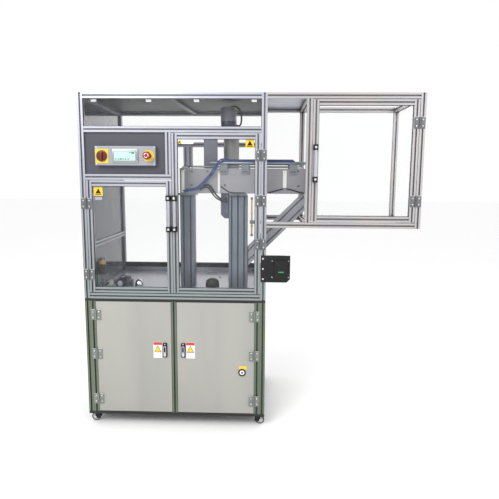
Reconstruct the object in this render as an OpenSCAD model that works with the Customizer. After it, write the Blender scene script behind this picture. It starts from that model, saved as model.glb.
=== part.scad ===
// Enclosed SCARA assembly cell: a T-slot frame on castors with glazed doors, a
// sheet-metal cabinet below, a side bay, a belt conveyor and a small SCARA arm.
// Modelled from the front left corner of the frame, then moved so that the origin
// is the middle of the footprint at floor level. X right, Y back, Z up.

/* [Main body] */
// Width of the main frame
body_w = 1000; // [900:10:1200]
// Depth of the main frame
body_d = 740; // [700:10:900]
// Total height of the frame above the floor
body_h = 1836; // [1800:2:1900]
// Height of the lower cabinet's top above the floor
cabinet_top = 721; // [700:1:740]
// Left edge of the right upper door, where the two doors meet
door_meet_x = 494; // [470:1:530]
// Bottom of the beam across the front under the top window
mid_beam_z = 1633; // [1620:1:1640]
// Bottom of the beam under the control plate
control_beam_z = 1384; // [1370:1:1400]

/* [Profiles] */
// Side of the aluminium profile
profile = 30; // [28:1:32]
// Width of the profile's slot
slot_w = 8; // [6:0.5:9]
// Depth of the profile's slot
slot_d = 7; // [6:0.5:8]
// Thickness of the clear panes
pane_t = 4; // [3:0.5:5]

/* [Side bay] */
// Right end of the side bay
bay_end_x = 1815; // [1750:5:1900]
// Depth of the side bay
bay_d = 560; // [500:10:600]
// Bottom of the side bay's frame
bay_z = 1135; // [1120:1:1145]
// Left edge of the post between the open bay and the bay door
bay_post_x = 1204; // [1195:1:1215]

/* [Conveyor] */
// Front face of the conveyor's side plates
belt_y = 150; // [140:1:160]
// Distance over the side plates
belt_frame_d = 140; // [120:2:150]
// Bottom of the side plates
belt_frame_z = 1312; // [1305:1:1320]
// Height of the side plates
belt_frame_h = 139; // [130:1:140]
// Left and right ends of the side plates
belt_x0 = 512; // [506:1:530]
belt_x1 = 1215; // [1150:1:1230]

/* [Robot] */
// Position of the shoulder axis from the left edge
shoulder_x = 780; // [770:1:790]
// Position of the shoulder axis from the front
shoulder_y = 445; // [430:1:450]
// Length of the inner arm between its axes
inner_arm = 125; // [120:1:130]
// Length of the outer arm from elbow to quill
outer_arm = 100; // [90:1:105]
// Half width of the arms
arm_r = 42; // [38:1:44]

/* [Castors] */
// Diameter of the castor wheels
wheel_d = 50; // [44:1:52]
// Distance of the wheel axle from the swivel axis
trail = 20; // [16:1:22]

/* [Hidden] */
$fn = 48;
gap = 0.2;
front_reach = 70;
box_mid = [bay_end_x / 2, (body_d - front_reach) / 2, 0];
base_z = 60;
base_t = 15;
post_z = base_z + base_t;
post_w = 60;
board_t = 14;
upper_z = cabinet_top + board_t;
rail_top = upper_z + profile;
top_z = body_h - profile;
door_gap = 2;
door_z = rail_top + 4;
left_door_top = control_beam_z - 3;
right_door_top = mid_beam_z - 3;
groove_bite = 5;
side_rail_z = 1004;
hinge_y = -5;
hinge_h = 60;
knuckle_r = 4;
pin_r = 2;
handle_l = 196;
mullion_x1 = door_meet_x - 2;
mullion_x0 = mullion_x1 - profile;
bay_door_x0 = bay_post_x + profile + 3;
bay_door_x1 = bay_end_x - profile - 3;
bay_door_z = bay_z + profile + 4;
bay_door_top = top_z - 3;
roller_r = 22;
roller_z = belt_frame_z + belt_frame_h - 10;
roller_x0 = belt_x0 + 30;
roller_x1 = belt_x1 - 30;
belt_in = roller_r + 0.3;
belt_t = 2;
base_top = 1640;
arm_z = base_top + 7;
arm_t = 26;
outer_z = arm_z + arm_t + 6.5;
outer_h = 32;
cover_h = 78;
elbow_y = shoulder_y - inner_arm;
quill_y = elbow_y - outer_arm;
quill_floor = 1646;
castor_inset = 45;
castor_y_rear = body_d - castor_inset;
castor_x0 = castor_inset;
castor_x1 = body_w - castor_inset;
deck_top = rail_top - 2;
rear_post_x = 442;
rear_sill_z = 788;
rear_beam_z = 1603;
regulator_at = [162, 792];
plate_y = 12;
box_front = -20;
box_low = [94, 1460];
box_high = [414, 1560];
switch_at = [131, 1508];
estop_at = [377, 1510];
upper_left_hinges = [1227, 839];
upper_right_hinges = [1486, 1248, 1015];
bay_hinges = [1655, 1251];
cabinet_hinges = [122, 387, 613];
left_pin = profile + door_gap / 2;
right_pin = body_w - profile - door_gap / 2;
bay_pin = bay_end_x - profile - door_gap / 2;
left_door = [profile + door_gap, door_meet_x - door_gap / 2];
right_door = [door_meet_x + door_gap / 2, body_w - profile - door_gap];
plate_t = 10;
belt_back = belt_y + belt_frame_d;
shaft_r = 6;
latch_x = [443, 545];
latch_z = 445;
loom_run = [
    [536, 132, 1322], [548, 130, 1326], [562, 128, 1331], [585, 128, 1332], [620, 127, 1344],
    [655, 124, 1378], [690, 119, 1416], [712, 117, 1448], [728, 116, 1474], [742, 118, 1490],
    [756, 123, 1497], [775, 130, 1496], [800, 134, 1493], [900, 134, 1493], [1020, 134, 1493],
    [1150, 134, 1493]];
arm_cable_run = [
    [786, 300, 1790], [787, 300, 1799], [797, 300, 1807], [812, 300, 1808], [828, 300, 1801],
    [841, 300, 1787], [848, 300, 1767], [850, 300, 1743], [849, 300, 1721], [845, 300, 1706],
    [836, 300, 1698], [823, 300, 1696]];

// ---------- shared shapes ----------

module place() {
    translate(-box_mid) children();
}

// Box between two corners
module block(low, high) {
    translate(low) cube(high - low);
}

// Cylinder along Y, from y to y + len
module rod_y(x, y, z, r, len) {
    translate([x, y, z]) rotate([-90, 0, 0]) cylinder(r = r, h = len);
}

// Cylinder along X, from x to x + len
module rod_x(x, y, z, r, len) {
    translate([x, y, z]) rotate([0, 90, 0]) cylinder(r = r, h = len);
}

// Cross-section of a T-slot profile, nx by ny units wide, slots on all four sides
module tslot(nx = 1, ny = 1, unit = profile) {
    difference() {
        square([nx * unit, ny * unit]);
        for (i = [0 : nx - 1])
            for (y = [-1, ny * unit - slot_d])
                translate([(i + 0.5) * unit - slot_w / 2, y]) square([slot_w, slot_d + 1]);
        for (j = [0 : ny - 1])
            for (x = [-1, nx * unit - slot_d])
                translate([x, (j + 0.5) * unit - slot_w / 2]) square([slot_d + 1, slot_w]);
    }
}

module bar_z(x, y, z0, z1, nx = 1, ny = 1, unit = profile) {
    translate([x, y, z0]) linear_extrude(z1 - z0) tslot(nx, ny, unit);
}

module bar_x(x0, x1, y, z, ny = 1, nz = 1) {
    translate([x0, y, z]) rotate([90, 0, 90]) linear_extrude(x1 - x0) tslot(ny, nz);
}

module bar_y(y0, y1, x, z, nx = 1, nz = 1) {
    translate([x, y1, z]) rotate([90, 0, 0]) linear_extrude(y1 - y0) tslot(nx, nz);
}

// Upright rectangular frame of four bars in the plane of the front, as doors and windows are
module window_frame(x0, x1, z0, z1, y = 0) {
    bar_z(x0, y, z0, z1);
    bar_z(x1 - profile, y, z0, z1);
    for (z = [z0, z1 - profile])
        bar_x(x0 + profile + gap, x1 - profile - gap, y, z);
}

// Clear pane that sits in the slots of the frame above
module window_pane(x0, x1, z0, z1, y = 0) {
    bite = profile - groove_bite;
    mid = y + profile / 2;
    block([x0 + bite, mid - pane_t / 2, z0 + bite], [x1 - bite, mid + pane_t / 2, z1 - bite]);
}

// Hinge leaf on the side given by dir (-1 left of the pin, 1 right of it)
module leaf(x, z, dir, moving) {
    knuckle = hinge_h / 3;
    leaf_w = 28;
    clear = knuckle_r + 0.6;
    reach = dir < 0 ? [-leaf_w, -clear] : [clear, leaf_w];
    difference() {
        block([x + reach[0], hinge_y + 2, z], [x + reach[1], 0, z + hinge_h]);
        for (h = [14, hinge_h - 14])
            rod_y(x + dir * 15, hinge_y, z + h, 2.6, 12);
    }
    if (moving)
        difference() {
            union() {
                translate([x, hinge_y, z + knuckle + 0.4]) cylinder(r = knuckle_r, h = knuckle - 0.8);
                block([x + min(0, dir * clear), hinge_y + 2, z + knuckle + 0.4],
                      [x + max(0, dir * clear), hinge_y + knuckle_r, z + 2 * knuckle - 0.4]);
            }
            translate([x, hinge_y, z]) cylinder(r = pin_r + 0.05, h = hinge_h);
        }
    else {
        translate([x, hinge_y, z]) cylinder(r = pin_r, h = hinge_h);
        for (h = [0, 2 * knuckle]) {
            translate([x, hinge_y, z + h]) cylinder(r = knuckle_r, h = knuckle);
            block([x + min(0, dir * clear), hinge_y + 2, z + h],
                  [x + max(0, dir * clear), hinge_y + knuckle_r, z + h + knuckle]);
        }
    }
}

// Screws of one leaf, countersunk heads standing a little proud
module leaf_screws(x, z, dir) {
    for (h = [14, hinge_h - 14])
        rod_y(x + dir * 15, hinge_y + 1.4, z + h, 2.5, 3.4);
}

// Pull handle: two end blocks and a bar, finger space behind the bar
module pull_handle(x, z) {
    block_h = 31;
    for (h = [0, handle_l - block_h])
        block([x - 13, -34, z + h], [x + 13, 0, z + h + block_h]);
    translate([x, -25, z + block_h + gap]) cylinder(r = 8, h = handle_l - 2 * block_h - 2 * gap);
}

// Round-ended link between two axes, seen from above
module link_shape(y0, y1, r) {
    translate([shoulder_x, y0]) circle(r = r);
    translate([shoulder_x, y1]) circle(r = r);
    translate([shoulder_x - r, min(y0, y1)]) square([2 * r, abs(y1 - y0)]);
}

// Tube swept along a route of points, as rings joined into one closed skin
function unit_of(v) = v / norm(v);
function heading(p, i) =
    unit_of(p[min(i + 1, len(p) - 1)] - p[max(i - 1, 0)]);
function side_of(t) =
    unit_of(cross(t, abs(t[1]) < 0.9 ? [0, 1, 0] : [1, 0, 0]));
function ring(p, i, r, n) =
    let (t = heading(p, i), u = side_of(t), v = cross(t, u))
    [for (k = [0 : n - 1]) p[i] + r * (cos(360 * k / n) * u + sin(360 * k / n) * v)];
function spline(a, b, c, d, s) =
    0.5 * ((2 * b) + (c - a) * s + (2 * a - 5 * b + 4 * c - d) * s * s
        + (3 * b - a - 3 * c + d) * s * s * s);
function smooth(p, steps) = concat(
    [for (i = [0 : len(p) - 2]) for (s = [0 : steps - 1])
        spline(p[max(i - 1, 0)], p[i], p[i + 1], p[min(i + 2, len(p) - 1)], s / steps)],
    [p[len(p) - 1]]);

module tube(route, r, n = 10) {
    m = len(route);
    points = [for (i = [0 : m - 1]) each ring(route, i, r, n)];
    sides = [for (i = [0 : m - 2]) for (k = [0 : n - 1])
        [i * n + k, i * n + (k + 1) % n, (i + 1) * n + (k + 1) % n, (i + 1) * n + k]];
    caps = [[for (k = [n - 1 : -1 : 0]) k], [for (k = [0 : n - 1]) (m - 1) * n + k]];
    polyhedron(points = points, faces = concat(sides, caps));
}

// ---------- lower cabinet ----------

module base_posts() {
    color([0.55, 0.58, 0.55]) place()
        for (x = [0, body_w - post_w])
            for (y = [0, body_d - post_w])
                bar_z(x, y, post_z, cabinet_top, 2, 2);
}

module base_rails() {
    side_y0 = post_w;
    side_y1 = body_d - post_w;
    color([0.60, 0.62, 0.60]) place() {
        for (z = [post_z, cabinet_top - profile]) {
            for (y = [profile, body_d - 2 * profile])
                bar_x(post_w, body_w - post_w, y, z);
            for (x = [profile / 2, body_w - 1.5 * profile])
                bar_y(side_y0, side_y1, x, z);
        }
        bar_z(door_meet_x - profile / 2, -0.2, post_z, cabinet_top);
    }
}

module base_panels() {
    sheet = 2;
    lip = 1;
    color([0.78, 0.78, 0.76]) place() {
        for (x = [4, body_w - 4 - sheet])
            block([x, post_w + lip, post_z + lip], [x + sheet, body_d - post_w - lip, cabinet_top - lip]);
        block([post_w + lip, body_d - 4 - sheet, post_z + lip],
              [body_w - post_w - lip, body_d - 4, cabinet_top - lip]);
    }
}

module black_boards() {
    color([0.05, 0.05, 0.05]) place() {
        block([0, 0, base_z], [body_w, body_d, post_z]);
        block([0, 0, cabinet_top], [body_w, body_d, upper_z]);
        for (x = [castor_inset, body_w - castor_inset])
            for (y = [castor_inset, castor_y_rear])
                difference() {
                    block([x - 35, y - 35, base_z - 3 - gap], [x + 35, y + 35, base_z - gap]);
                    translate([x, y, base_z - 10]) cylinder(r = 6.05, h = 20);
                }
    }
}

// Flat sandwich-panel door, and the pieces screwed to it
module cabinet_door(x0, x1, pin_x, dir) {
    z0 = post_z + 3;
    z1 = cabinet_top - 3;
    color([0.80, 0.80, 0.77]) {
        difference() {
            block([x0, 0.3, z0], [x1, 6.3, z1]);
            for (z = cabinet_hinges)
                for (h = [14, hinge_h - 14])
                    rod_y(pin_x + dir * 15, -1, z + h, 2.6, 5);
        }
    }
    for (z = cabinet_hinges) {
        color([0.55, 0.57, 0.58]) leaf(pin_x, z, dir, true);
        color([0.85, 0.85, 0.86]) leaf_screws(pin_x, z, dir);
    }
}

module latch_case(x) {
    color([0.08, 0.08, 0.09])
        difference() {
            block([x - 12, -8, latch_z - 41], [x + 12, 0, latch_z + 41]);
            rod_y(x, -10, latch_z, 6.05, 7.5);
        }
}

module cabinet_door_left() {
    place() {
        cabinet_door(post_w + 1, door_meet_x - profile / 2 - 1.5, post_w, 1);
        latch_case(latch_x[0]);
    }
}

module cabinet_door_right() {
    port = [873, 321];
    place() {
        cabinet_door(door_meet_x + profile / 2 + 1.5, body_w - post_w - 1, body_w - post_w, -1);
        latch_case(latch_x[1]);
        color([0.1, 0.1, 0.1])
            difference() {
                rod_y(port[0], -6, port[1], 21, 6);
                rod_y(port[0], -7, port[1], 15, 3);
            }
        color([0.9, 0.9, 0.9]) rod_y(port[0], -5, port[1], 14.7, 1);
    }
}

module latch_lever(x) {
    color([0.12, 0.12, 0.13]) place()
        difference() {
            union() {
                rod_y(x, -8.4, latch_z, 6, 5);
                block([x - 8, -16, latch_z - 35], [x + 8, -8.3, latch_z + 35]);
            }
            block([x - 4, -17, latch_z - 29], [x + 4, -14, latch_z - 11]);
        }
}

module latch_lever_left() { latch_lever(latch_x[0]); }
module latch_lever_right() { latch_lever(latch_x[1]); }

// ---------- upper frame ----------

module upper_posts() {
    color([0.75, 0.76, 0.79]) place()
        for (x = [0, body_w - profile])
            for (y = [0, body_d - profile])
                bar_z(x, y, upper_z, body_h);
}

module upper_rails() {
    color([0.78, 0.79, 0.82]) place()
        for (z = [upper_z, top_z]) {
            for (y = [0, body_d - profile])
                bar_x(profile, body_w - profile, y, z);
            for (x = [0, body_w - profile])
                bar_y(profile, body_d - profile, x, z);
        }
}

module mid_rails() {
    color([0.76, 0.77, 0.80]) place() {
        bar_x(profile, body_w - profile, 0, mid_beam_z);
        bar_x(profile, mullion_x1, 0, control_beam_z);
        bar_z(mullion_x0, 0, control_beam_z + profile + gap, mid_beam_z - gap);
        bar_y(profile, body_d - profile, 0, side_rail_z);
        bar_y(profile, body_d - profile, body_w - profile, bay_z);
        for (z = [rear_sill_z, rear_beam_z])
            bar_x(profile, body_w - profile, body_d - profile, z);
        bar_z(rear_post_x, body_d - profile, rear_sill_z + profile + gap, rear_beam_z - gap, 2, 1);
    }
}

module bay_frame() {
    x0 = body_w;
    x1 = bay_end_x - profile;
    y1 = bay_d - profile;
    color([0.78, 0.79, 0.82]) place() {
        for (z = [bay_z, top_z]) {
            for (y = [0, y1])
                bar_x(x0, x1 - gap, y, z);
            for (x = [bay_post_x, x1])
                bar_y(profile + gap, y1 - gap, x, z);
        }
        for (y = [0, y1]) {
            bar_z(x1, y, bay_z, body_h);
            bar_z(bay_post_x, y, bay_z + profile + gap, top_z - gap);
        }
        bar_z(body_w - profile, y1, bay_z + profile + gap, top_z - gap);
    }
}

module deck_plate() {
    color([0.62, 0.64, 0.66]) place()
        union() {
            block([profile + 0.5, profile + 0.5, rail_top - 14],
                  [body_w - profile - 0.5, body_d - profile - 0.5, deck_top]);
            block([profile + 0.5, body_d - profile - 4.5, deck_top - 1],
                  [body_w - profile - 0.5, body_d - profile - 0.5, rear_sill_z + 1]);
        }
}

module ceiling_plates() {
    color([0.45, 0.48, 0.48]) place() {
        block([profile + 0.5, profile + 0.5, body_h - 8],
              [body_w - profile - 0.5, body_d - profile - 0.5, body_h - 4]);
        block([body_w + 0.5, profile + 0.5, body_h - 8],
              [bay_post_x - 0.5, bay_d - profile - 0.5, body_h - 4]);
    }
}

// Pane standing across Y in the rear wall, inside the slots of the frame round it
module rear_pane(x0, x1, z0, z1) {
    mid = body_d - profile / 2;
    block([x0 - groove_bite, mid - pane_t / 2, z0 - groove_bite],
          [x1 + groove_bite, mid + pane_t / 2, z1 + groove_bite]);
}

// Pane standing across X at x, inside the slots of the frame round it
module pane_across_x(x, y0, y1, z0, z1) {
    block([x - pane_t / 2, y0 - groove_bite, z0 - groove_bite],
          [x + pane_t / 2, y1 + groove_bite, z1 + groove_bite]);
}

module fixed_panes() {
    half = profile / 2;
    y1 = body_d - profile;
    bay_y1 = bay_d - profile;
    bay_x1 = bay_end_x - profile;
    color([0.85, 0.90, 0.92, 0.35]) place() {
        pane_across_x(half, profile, y1, rail_top, side_rail_z);
        pane_across_x(half, profile, y1, side_rail_z + profile, top_z);
        difference() {
            pane_across_x(body_w - half, profile, y1, rail_top, bay_z);
            block([body_w - profile, 160, 940], [body_w, 280, bay_z + profile]);
        }
        pane_across_x(body_w - half, bay_d, y1, bay_z + profile, top_z);
        pane_across_x(bay_end_x - half, profile, bay_y1, bay_z + profile, top_z);
        window_pane(0, body_w, mid_beam_z, body_h);
        rear_pane(profile, rear_post_x, rear_sill_z + profile, rear_beam_z);
        rear_pane(rear_post_x + post_w, body_w - profile, rear_sill_z + profile, rear_beam_z);
        rear_pane(profile, body_w - profile, rear_beam_z + profile, top_z);
        block([body_w + 1, bay_y1 + half - pane_t / 2, bay_z + profile - groove_bite],
              [bay_post_x + groove_bite, bay_y1 + half + pane_t / 2, top_z + groove_bite]);
        window_pane(bay_post_x, bay_end_x, bay_z, body_h, bay_y1);
        for (z = [bay_z + half, top_z + half])
            difference() {
                block([bay_post_x + profile - groove_bite, profile - groove_bite, z - pane_t / 2],
                      [bay_x1 + groove_bite, bay_y1 + groove_bite, z + pane_t / 2]);
                for (y = [0, bay_y1 - gap])
                    block([bay_x1 - gap, y, z - pane_t], [bay_end_x, y + profile + gap, z + pane_t]);
            }
    }
}

// ---------- operator panel ----------

module control_plate() {
    color([0.40, 0.41, 0.45]) place()
        block([profile - groove_bite, plate_y, control_beam_z + profile - groove_bite],
              [mullion_x0 + groove_bite, plate_y + 3, mid_beam_z + groove_bite]);
}

module operator_box() {
    color([0.72, 0.73, 0.75]) place()
        difference() {
            block([box_low[0], box_front, box_low[1]], [box_high[0], plate_y - gap, box_high[1]]);
            rod_y(switch_at[0], box_front - 1, switch_at[1], 4.05, 20);
            rod_y(estop_at[0], box_front - 1, estop_at[1], 8.05, 26);
        }
}

module legend_plates() {
    t = 2;
    color([0.90, 0.75, 0.10]) place() {
        difference() {
            block([switch_at[0] - 34, box_front - t, switch_at[1] - 37],
                  [switch_at[0] + 34, box_front, switch_at[1] + 37]);
            rod_y(switch_at[0], box_front - 5, switch_at[1], 4.6, 8);
        }
        difference() {
            rod_y(estop_at[0], box_front - t, estop_at[1], 30, t);
            rod_y(estop_at[0], box_front - 5, estop_at[1], 8.6, 8);
        }
    }
}

module touch_panel() {
    low = [186, 1471];
    high = [324, 1545];
    rim = 12;
    place() {
        color([0.32, 0.34, 0.36])
            difference() {
                block([low[0], box_front - 6, low[1]], [high[0], box_front, high[1]]);
                block([low[0] + rim, box_front - 7, low[1] + rim], [high[0] - rim, box_front - 3, high[1] - rim]);
            }
        color([0.75, 0.90, 0.75])
            block([low[0] + rim + 0.3, box_front - 5, low[1] + rim + 0.3],
                  [high[0] - rim - 0.3, box_front - 3 - gap, high[1] - rim - 0.3]);
    }
}

module main_switch_knob() {
    r = 24;
    face = box_front - 2.3;
    color([0.45, 0.10, 0.10]) place() {
        rod_y(switch_at[0], face - 8, switch_at[1], r, 8);
        rod_y(switch_at[0], face - 1, switch_at[1], 4, 16);
        block([switch_at[0] - 5, face - 24, switch_at[1] - r + 2],
              [switch_at[0] + 5, face - 7, switch_at[1] + r - 2]);
    }
}

module estop_button() {
    place() translate([estop_at[0], -front_reach, estop_at[1]]) rotate([-90, 0, 0])
        color([0.70, 0.08, 0.08])
            rotate_extrude()
                polygon([[0, 0], [14, 0], [19, 4], [21, 10], [21, 18], [18, 22], [13, 24],
                         [8, 26], [8, 66], [0, 66]]);
}

// ---------- hinges and upper doors ----------

module hinge_pair(x, z_list, dir, moving) {
    for (z = z_list) {
        color([0.70, 0.71, 0.72]) leaf(x, z, dir, moving);
        color([0.85, 0.85, 0.86]) leaf_screws(x, z, dir);
    }
}

module hinge_leaves() {
    place() {
        hinge_pair(left_pin, upper_left_hinges, -1, false);
        hinge_pair(right_pin, upper_right_hinges, 1, false);
        hinge_pair(bay_pin, bay_hinges, 1, false);
        hinge_pair(post_w, cabinet_hinges, -1, false);
        hinge_pair(body_w - post_w, cabinet_hinges, 1, false);
    }
}

module left_door_frame() {
    color([0.78, 0.79, 0.81]) place() window_frame(left_door[0], left_door[1], door_z, left_door_top);
}

module left_door_pane() {
    color([0.85, 0.90, 0.92, 0.35]) place() window_pane(left_door[0], left_door[1], door_z, left_door_top);
}

module left_door_fittings() {
    place() {
        hinge_pair(left_pin, upper_left_hinges, 1, true);
        color([0.15, 0.15, 0.16]) pull_handle(left_door[1] - profile / 2, 1108);
    }
}

module right_door_frame() {
    color([0.78, 0.79, 0.81]) place() window_frame(right_door[0], right_door[1], door_z, right_door_top);
}

module right_door_pane() {
    color([0.85, 0.90, 0.92, 0.35]) place() window_pane(right_door[0], right_door[1], door_z, right_door_top);
}

module right_door_fittings() {
    place() {
        hinge_pair(right_pin, upper_right_hinges, -1, true);
        color([0.15, 0.15, 0.16]) pull_handle(right_door[0] + profile / 2, 1108);
    }
}

module bay_door_frame() {
    color([0.78, 0.79, 0.81]) place() window_frame(bay_door_x0, bay_door_x1 + 1, bay_door_z, bay_door_top);
}

module bay_door_pane() {
    color([0.85, 0.90, 0.92, 0.35]) place()
        window_pane(bay_door_x0, bay_door_x1 + 1, bay_door_z, bay_door_top);
}

module bay_door_fittings() {
    place() {
        hinge_pair(bay_pin, bay_hinges, -1, true);
        color([0.15, 0.15, 0.16]) pull_handle(bay_door_x0 + profile / 2, 1377);
    }
}

// ---------- conveyor ----------

module side_plate(y) {
    difference() {
        block([belt_x0, y, belt_frame_z], [belt_x1, y + plate_t, belt_frame_z + belt_frame_h]);
        for (x = [roller_x0, roller_x1])
            rod_y(x, y - 1, roller_z, shaft_r + 0.05, plate_t + 2);
    }
}

module conveyor_sides() {
    cover_x = 738;
    cover_t = 4;
    corner = 16;
    inner0 = belt_y + plate_t;
    inner1 = belt_back - plate_t;
    color([0.66, 0.68, 0.70]) place() {
        side_plate(belt_y);
        side_plate(belt_back - plate_t);
        difference() {
            block([cover_x, belt_y - cover_t - gap, belt_frame_z + 2],
                  [belt_x1, belt_y - gap, belt_frame_z + belt_frame_h - 1]);
            difference() {
                block([cover_x - 1, belt_y - 9, belt_frame_z + belt_frame_h - corner],
                      [cover_x + corner, belt_y + 1, belt_frame_z + belt_frame_h + 1]);
                rod_y(cover_x + corner, belt_y - 10, belt_frame_z + belt_frame_h - corner - 1, corner, 12);
            }
        }
        block([roller_x0 + 40, inner0 + gap, roller_z + roller_r - 6],
              [roller_x1 - 40, inner1 - gap, roller_z + roller_r]);
        for (x = [620, 1060])
            block([x, inner0 + gap, belt_frame_z + 20], [x + 30, inner1 - gap, belt_frame_z + 50]);
    }
}

module belt_loop(r) {
    for (x = [roller_x0, roller_x1])
        translate([x, roller_z]) circle(r = r, $fn = 96);
    translate([roller_x0, roller_z - r]) square([roller_x1 - roller_x0, 2 * r]);
}

module conveyor_belt() {
    edge = 14;
    color([0.08, 0.16, 0.13]) place()
        translate([0, belt_back - edge, 0]) rotate([90, 0, 0])
            linear_extrude(belt_frame_d - 2 * edge)
                difference() {
                    belt_loop(belt_in + belt_t);
                    belt_loop(belt_in);
                }
}

module roller(x) {
    color([0.70, 0.71, 0.73]) place() {
        rod_y(x, belt_y + plate_t + 2, roller_z, roller_r, belt_frame_d - 2 * plate_t - 4);
        rod_y(x, belt_y + 0.5, roller_z, shaft_r, belt_frame_d - 1);
    }
}

module conveyor_drive_roller() { roller(roller_x0); }
module conveyor_idler_roller() { roller(roller_x1); }

module conveyor_motor() {
    color([0.45, 0.47, 0.50]) place() {
        difference() {
            block([741, 168, 1170], [783.6, 238, belt_frame_z - gap]);
            translate([741, 160, 1170]) rotate([0, 45, 0]) cube([30, 200, 30], center = true);
        }
        block([745, 172, belt_frame_z], [783, 230, belt_frame_z + 60]);
    }
}

module conveyor_guides() {
    r = 8;
    rail_z = 1481;
    rail_x0 = 684;
    clamp_w = 44;
    clamp_z = 1420;
    front_y = belt_y - 12;
    rear_y = belt_back + 15;
    color([0.72, 0.76, 0.82]) place() {
        for (y = [front_y, rear_y])
            rod_x(rail_x0, y, rail_z, r, belt_x1 + 6 - rail_x0);
        for (x = [760, 880, 1146])
            for (y = [[front_y - 2, belt_y - 4 - 2 * gap], [belt_back + gap, rear_y - 2]])
                difference() {
                    block([x - clamp_w / 2, y[0], clamp_z], [x + clamp_w / 2, y[1], rail_z - r - gap]);
                    rod_y(x, y[0] - 5, clamp_z + 16, 3.2, 40);
                }
    }
}

module conveyor_supports() {
    leg_y = belt_y + 30;
    cap_t = 12;
    leg_top = belt_frame_z - cap_t - 2 * gap;
    brace_w = 80;
    color([0.70, 0.72, 0.74]) place() {
        bar_z(506, leg_y, deck_top, leg_top, 2, 2, 40);
        bar_z(784, leg_y, deck_top, leg_top, 3, 2, 36);
        for (x = [500, 790])
            block([x, belt_y + 2, belt_frame_z - cap_t - gap], [x + 96, belt_back - 2, belt_frame_z - gap]);
        intersection() {
            translate([1101, leg_y + 10, 1157]) rotate([0, -45, 0])
                translate([-400, 0, -brace_w / 2]) rotate([90, 0, 90]) linear_extrude(800) tslot(1, 2, 40);
            block([893, leg_y, 900], [belt_x1 + 1, leg_y + 60, belt_frame_z - gap]);
        }
    }
}

// Cables tied along the conveyor
module cable_loom() {
    color([0.10, 0.30, 0.65]) place()
        for (k = [0, 1])
            tube(smooth([for (p = loom_run) p + k * [0, 8, 0]], 2), 3.6, 8);
}

module upright_plate() {
    color([0.62, 0.64, 0.66]) place()
        block([631, belt_back + gap, 1330], [712, belt_back + 6, base_top]);
}

// ---------- robot ----------

module foot_holes(z, h) {
    for (x = [shoulder_x - 42, shoulder_x + 42])
        for (y = [shoulder_y - 42, shoulder_y + 88])
            translate([x, y, z]) cylinder(r = 3.4, h = h);
}

module robot_pedestal() {
    plate_z = 1310;
    foot_t = 8;
    color([0.70, 0.72, 0.74]) place() {
        block([765, 405, deck_top], [885, 525, deck_top + foot_t]);
        bar_z(785, 425, deck_top + foot_t + gap, plate_z - gap, 2, 2, 40);
        difference() {
            block([722, 392, plate_z], [880, 545, plate_z + 15]);
            foot_holes(plate_z - 5, 30);
        }
    }
}

module robot_base() {
    foot_z = 1325 + gap;
    foot_t = 12;
    r = 45;
    color([0.62, 0.63, 0.66]) place()
        difference() {
            union() {
                translate([0, 0, foot_z]) linear_extrude(base_top - foot_z) {
                    translate([shoulder_x, shoulder_y]) circle(r = r);
                    translate([shoulder_x - r, shoulder_y]) square([2 * r, 85]);
                }
                block([shoulder_x - 52, shoulder_y - 52, foot_z], [shoulder_x + 52, shoulder_y + 98, foot_z + foot_t]);
                translate([shoulder_x, shoulder_y, base_top - 1]) cylinder(r = 34, h = 5);
                translate([shoulder_x, shoulder_y, base_top]) cylinder(r = 15, h = 24);
            }
            foot_holes(foot_z - 5, 40);
            for (s = [-1, 1])
                for (y = [16, 34, 52])
                    block([shoulder_x + s * r - 2, shoulder_y + y, 1370],
                          [shoulder_x + s * r + 2, shoulder_y + y + 8, base_top - 20]);
        }
}

module inner_arm_casting() {
    color([0.70, 0.71, 0.73]) place()
        difference() {
            union() {
                translate([0, 0, arm_z]) linear_extrude(arm_t) link_shape(shoulder_y, elbow_y, arm_r);
                translate([shoulder_x, elbow_y, arm_z + arm_t - 1]) cylinder(r = 34, h = 5);
                translate([shoulder_x, elbow_y, arm_z + arm_t]) cylinder(r = 15, h = 24);
            }
            translate([shoulder_x, shoulder_y, arm_z - 1]) cylinder(r = 15.05, h = 20);
        }
}

module outer_arm_casting() {
    floor_t = 9;
    color([0.13, 0.15, 0.22]) place()
        difference() {
            union() {
                translate([0, 0, outer_z]) linear_extrude(outer_h) link_shape(elbow_y, quill_y, arm_r);
                translate([shoulder_x, quill_y, outer_z - 14]) cylinder(r = 15, h = 16);
            }
            translate([shoulder_x, elbow_y, outer_z - 1]) cylinder(r = 15.05, h = 21);
            translate([shoulder_x, quill_y, outer_z - 20]) cylinder(r = 8.05, h = 40);
            translate([shoulder_x, quill_y, outer_z + floor_t]) cylinder(r = 30, h = outer_h);
        }
}

// Body of the arm cover: a round-ended block with rounded upper edges, made smaller by wall
module cover_body(wall) {
    r = arm_r + 1 - wall;
    corner = 20 - wall;
    low = outer_z + outer_h + gap - (wall > 0 ? 5 : 0);
    top = outer_z + outer_h + cover_h - wall;
    intersection() {
        translate([0, 0, low]) linear_extrude(top - low) link_shape(elbow_y, quill_y, r);
        translate([shoulder_x, elbow_y + 100, 0]) rotate([90, 0, 0])
            linear_extrude(outer_arm + 200) {
                translate([-r, low]) square([2 * r, top - corner - low]);
                translate([corner - r, low]) square([2 * (r - corner), top - low]);
                for (s = [-1, 1])
                    translate([s * (r - corner), top - corner]) circle(r = corner);
            }
    }
}

module outer_arm_cover() {
    color([0.66, 0.68, 0.72]) place()
        difference() {
            cover_body(0);
            cover_body(3);
        }
}

module quill_holder() {
    color([0.55, 0.56, 0.58]) place()
        translate([shoulder_x, quill_y, quill_floor + 119])
            difference() {
                cylinder(r = 20, h = 12);
                translate([0, 0, -1]) cylinder(r = 8.05, h = 14);
            }
}

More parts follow.
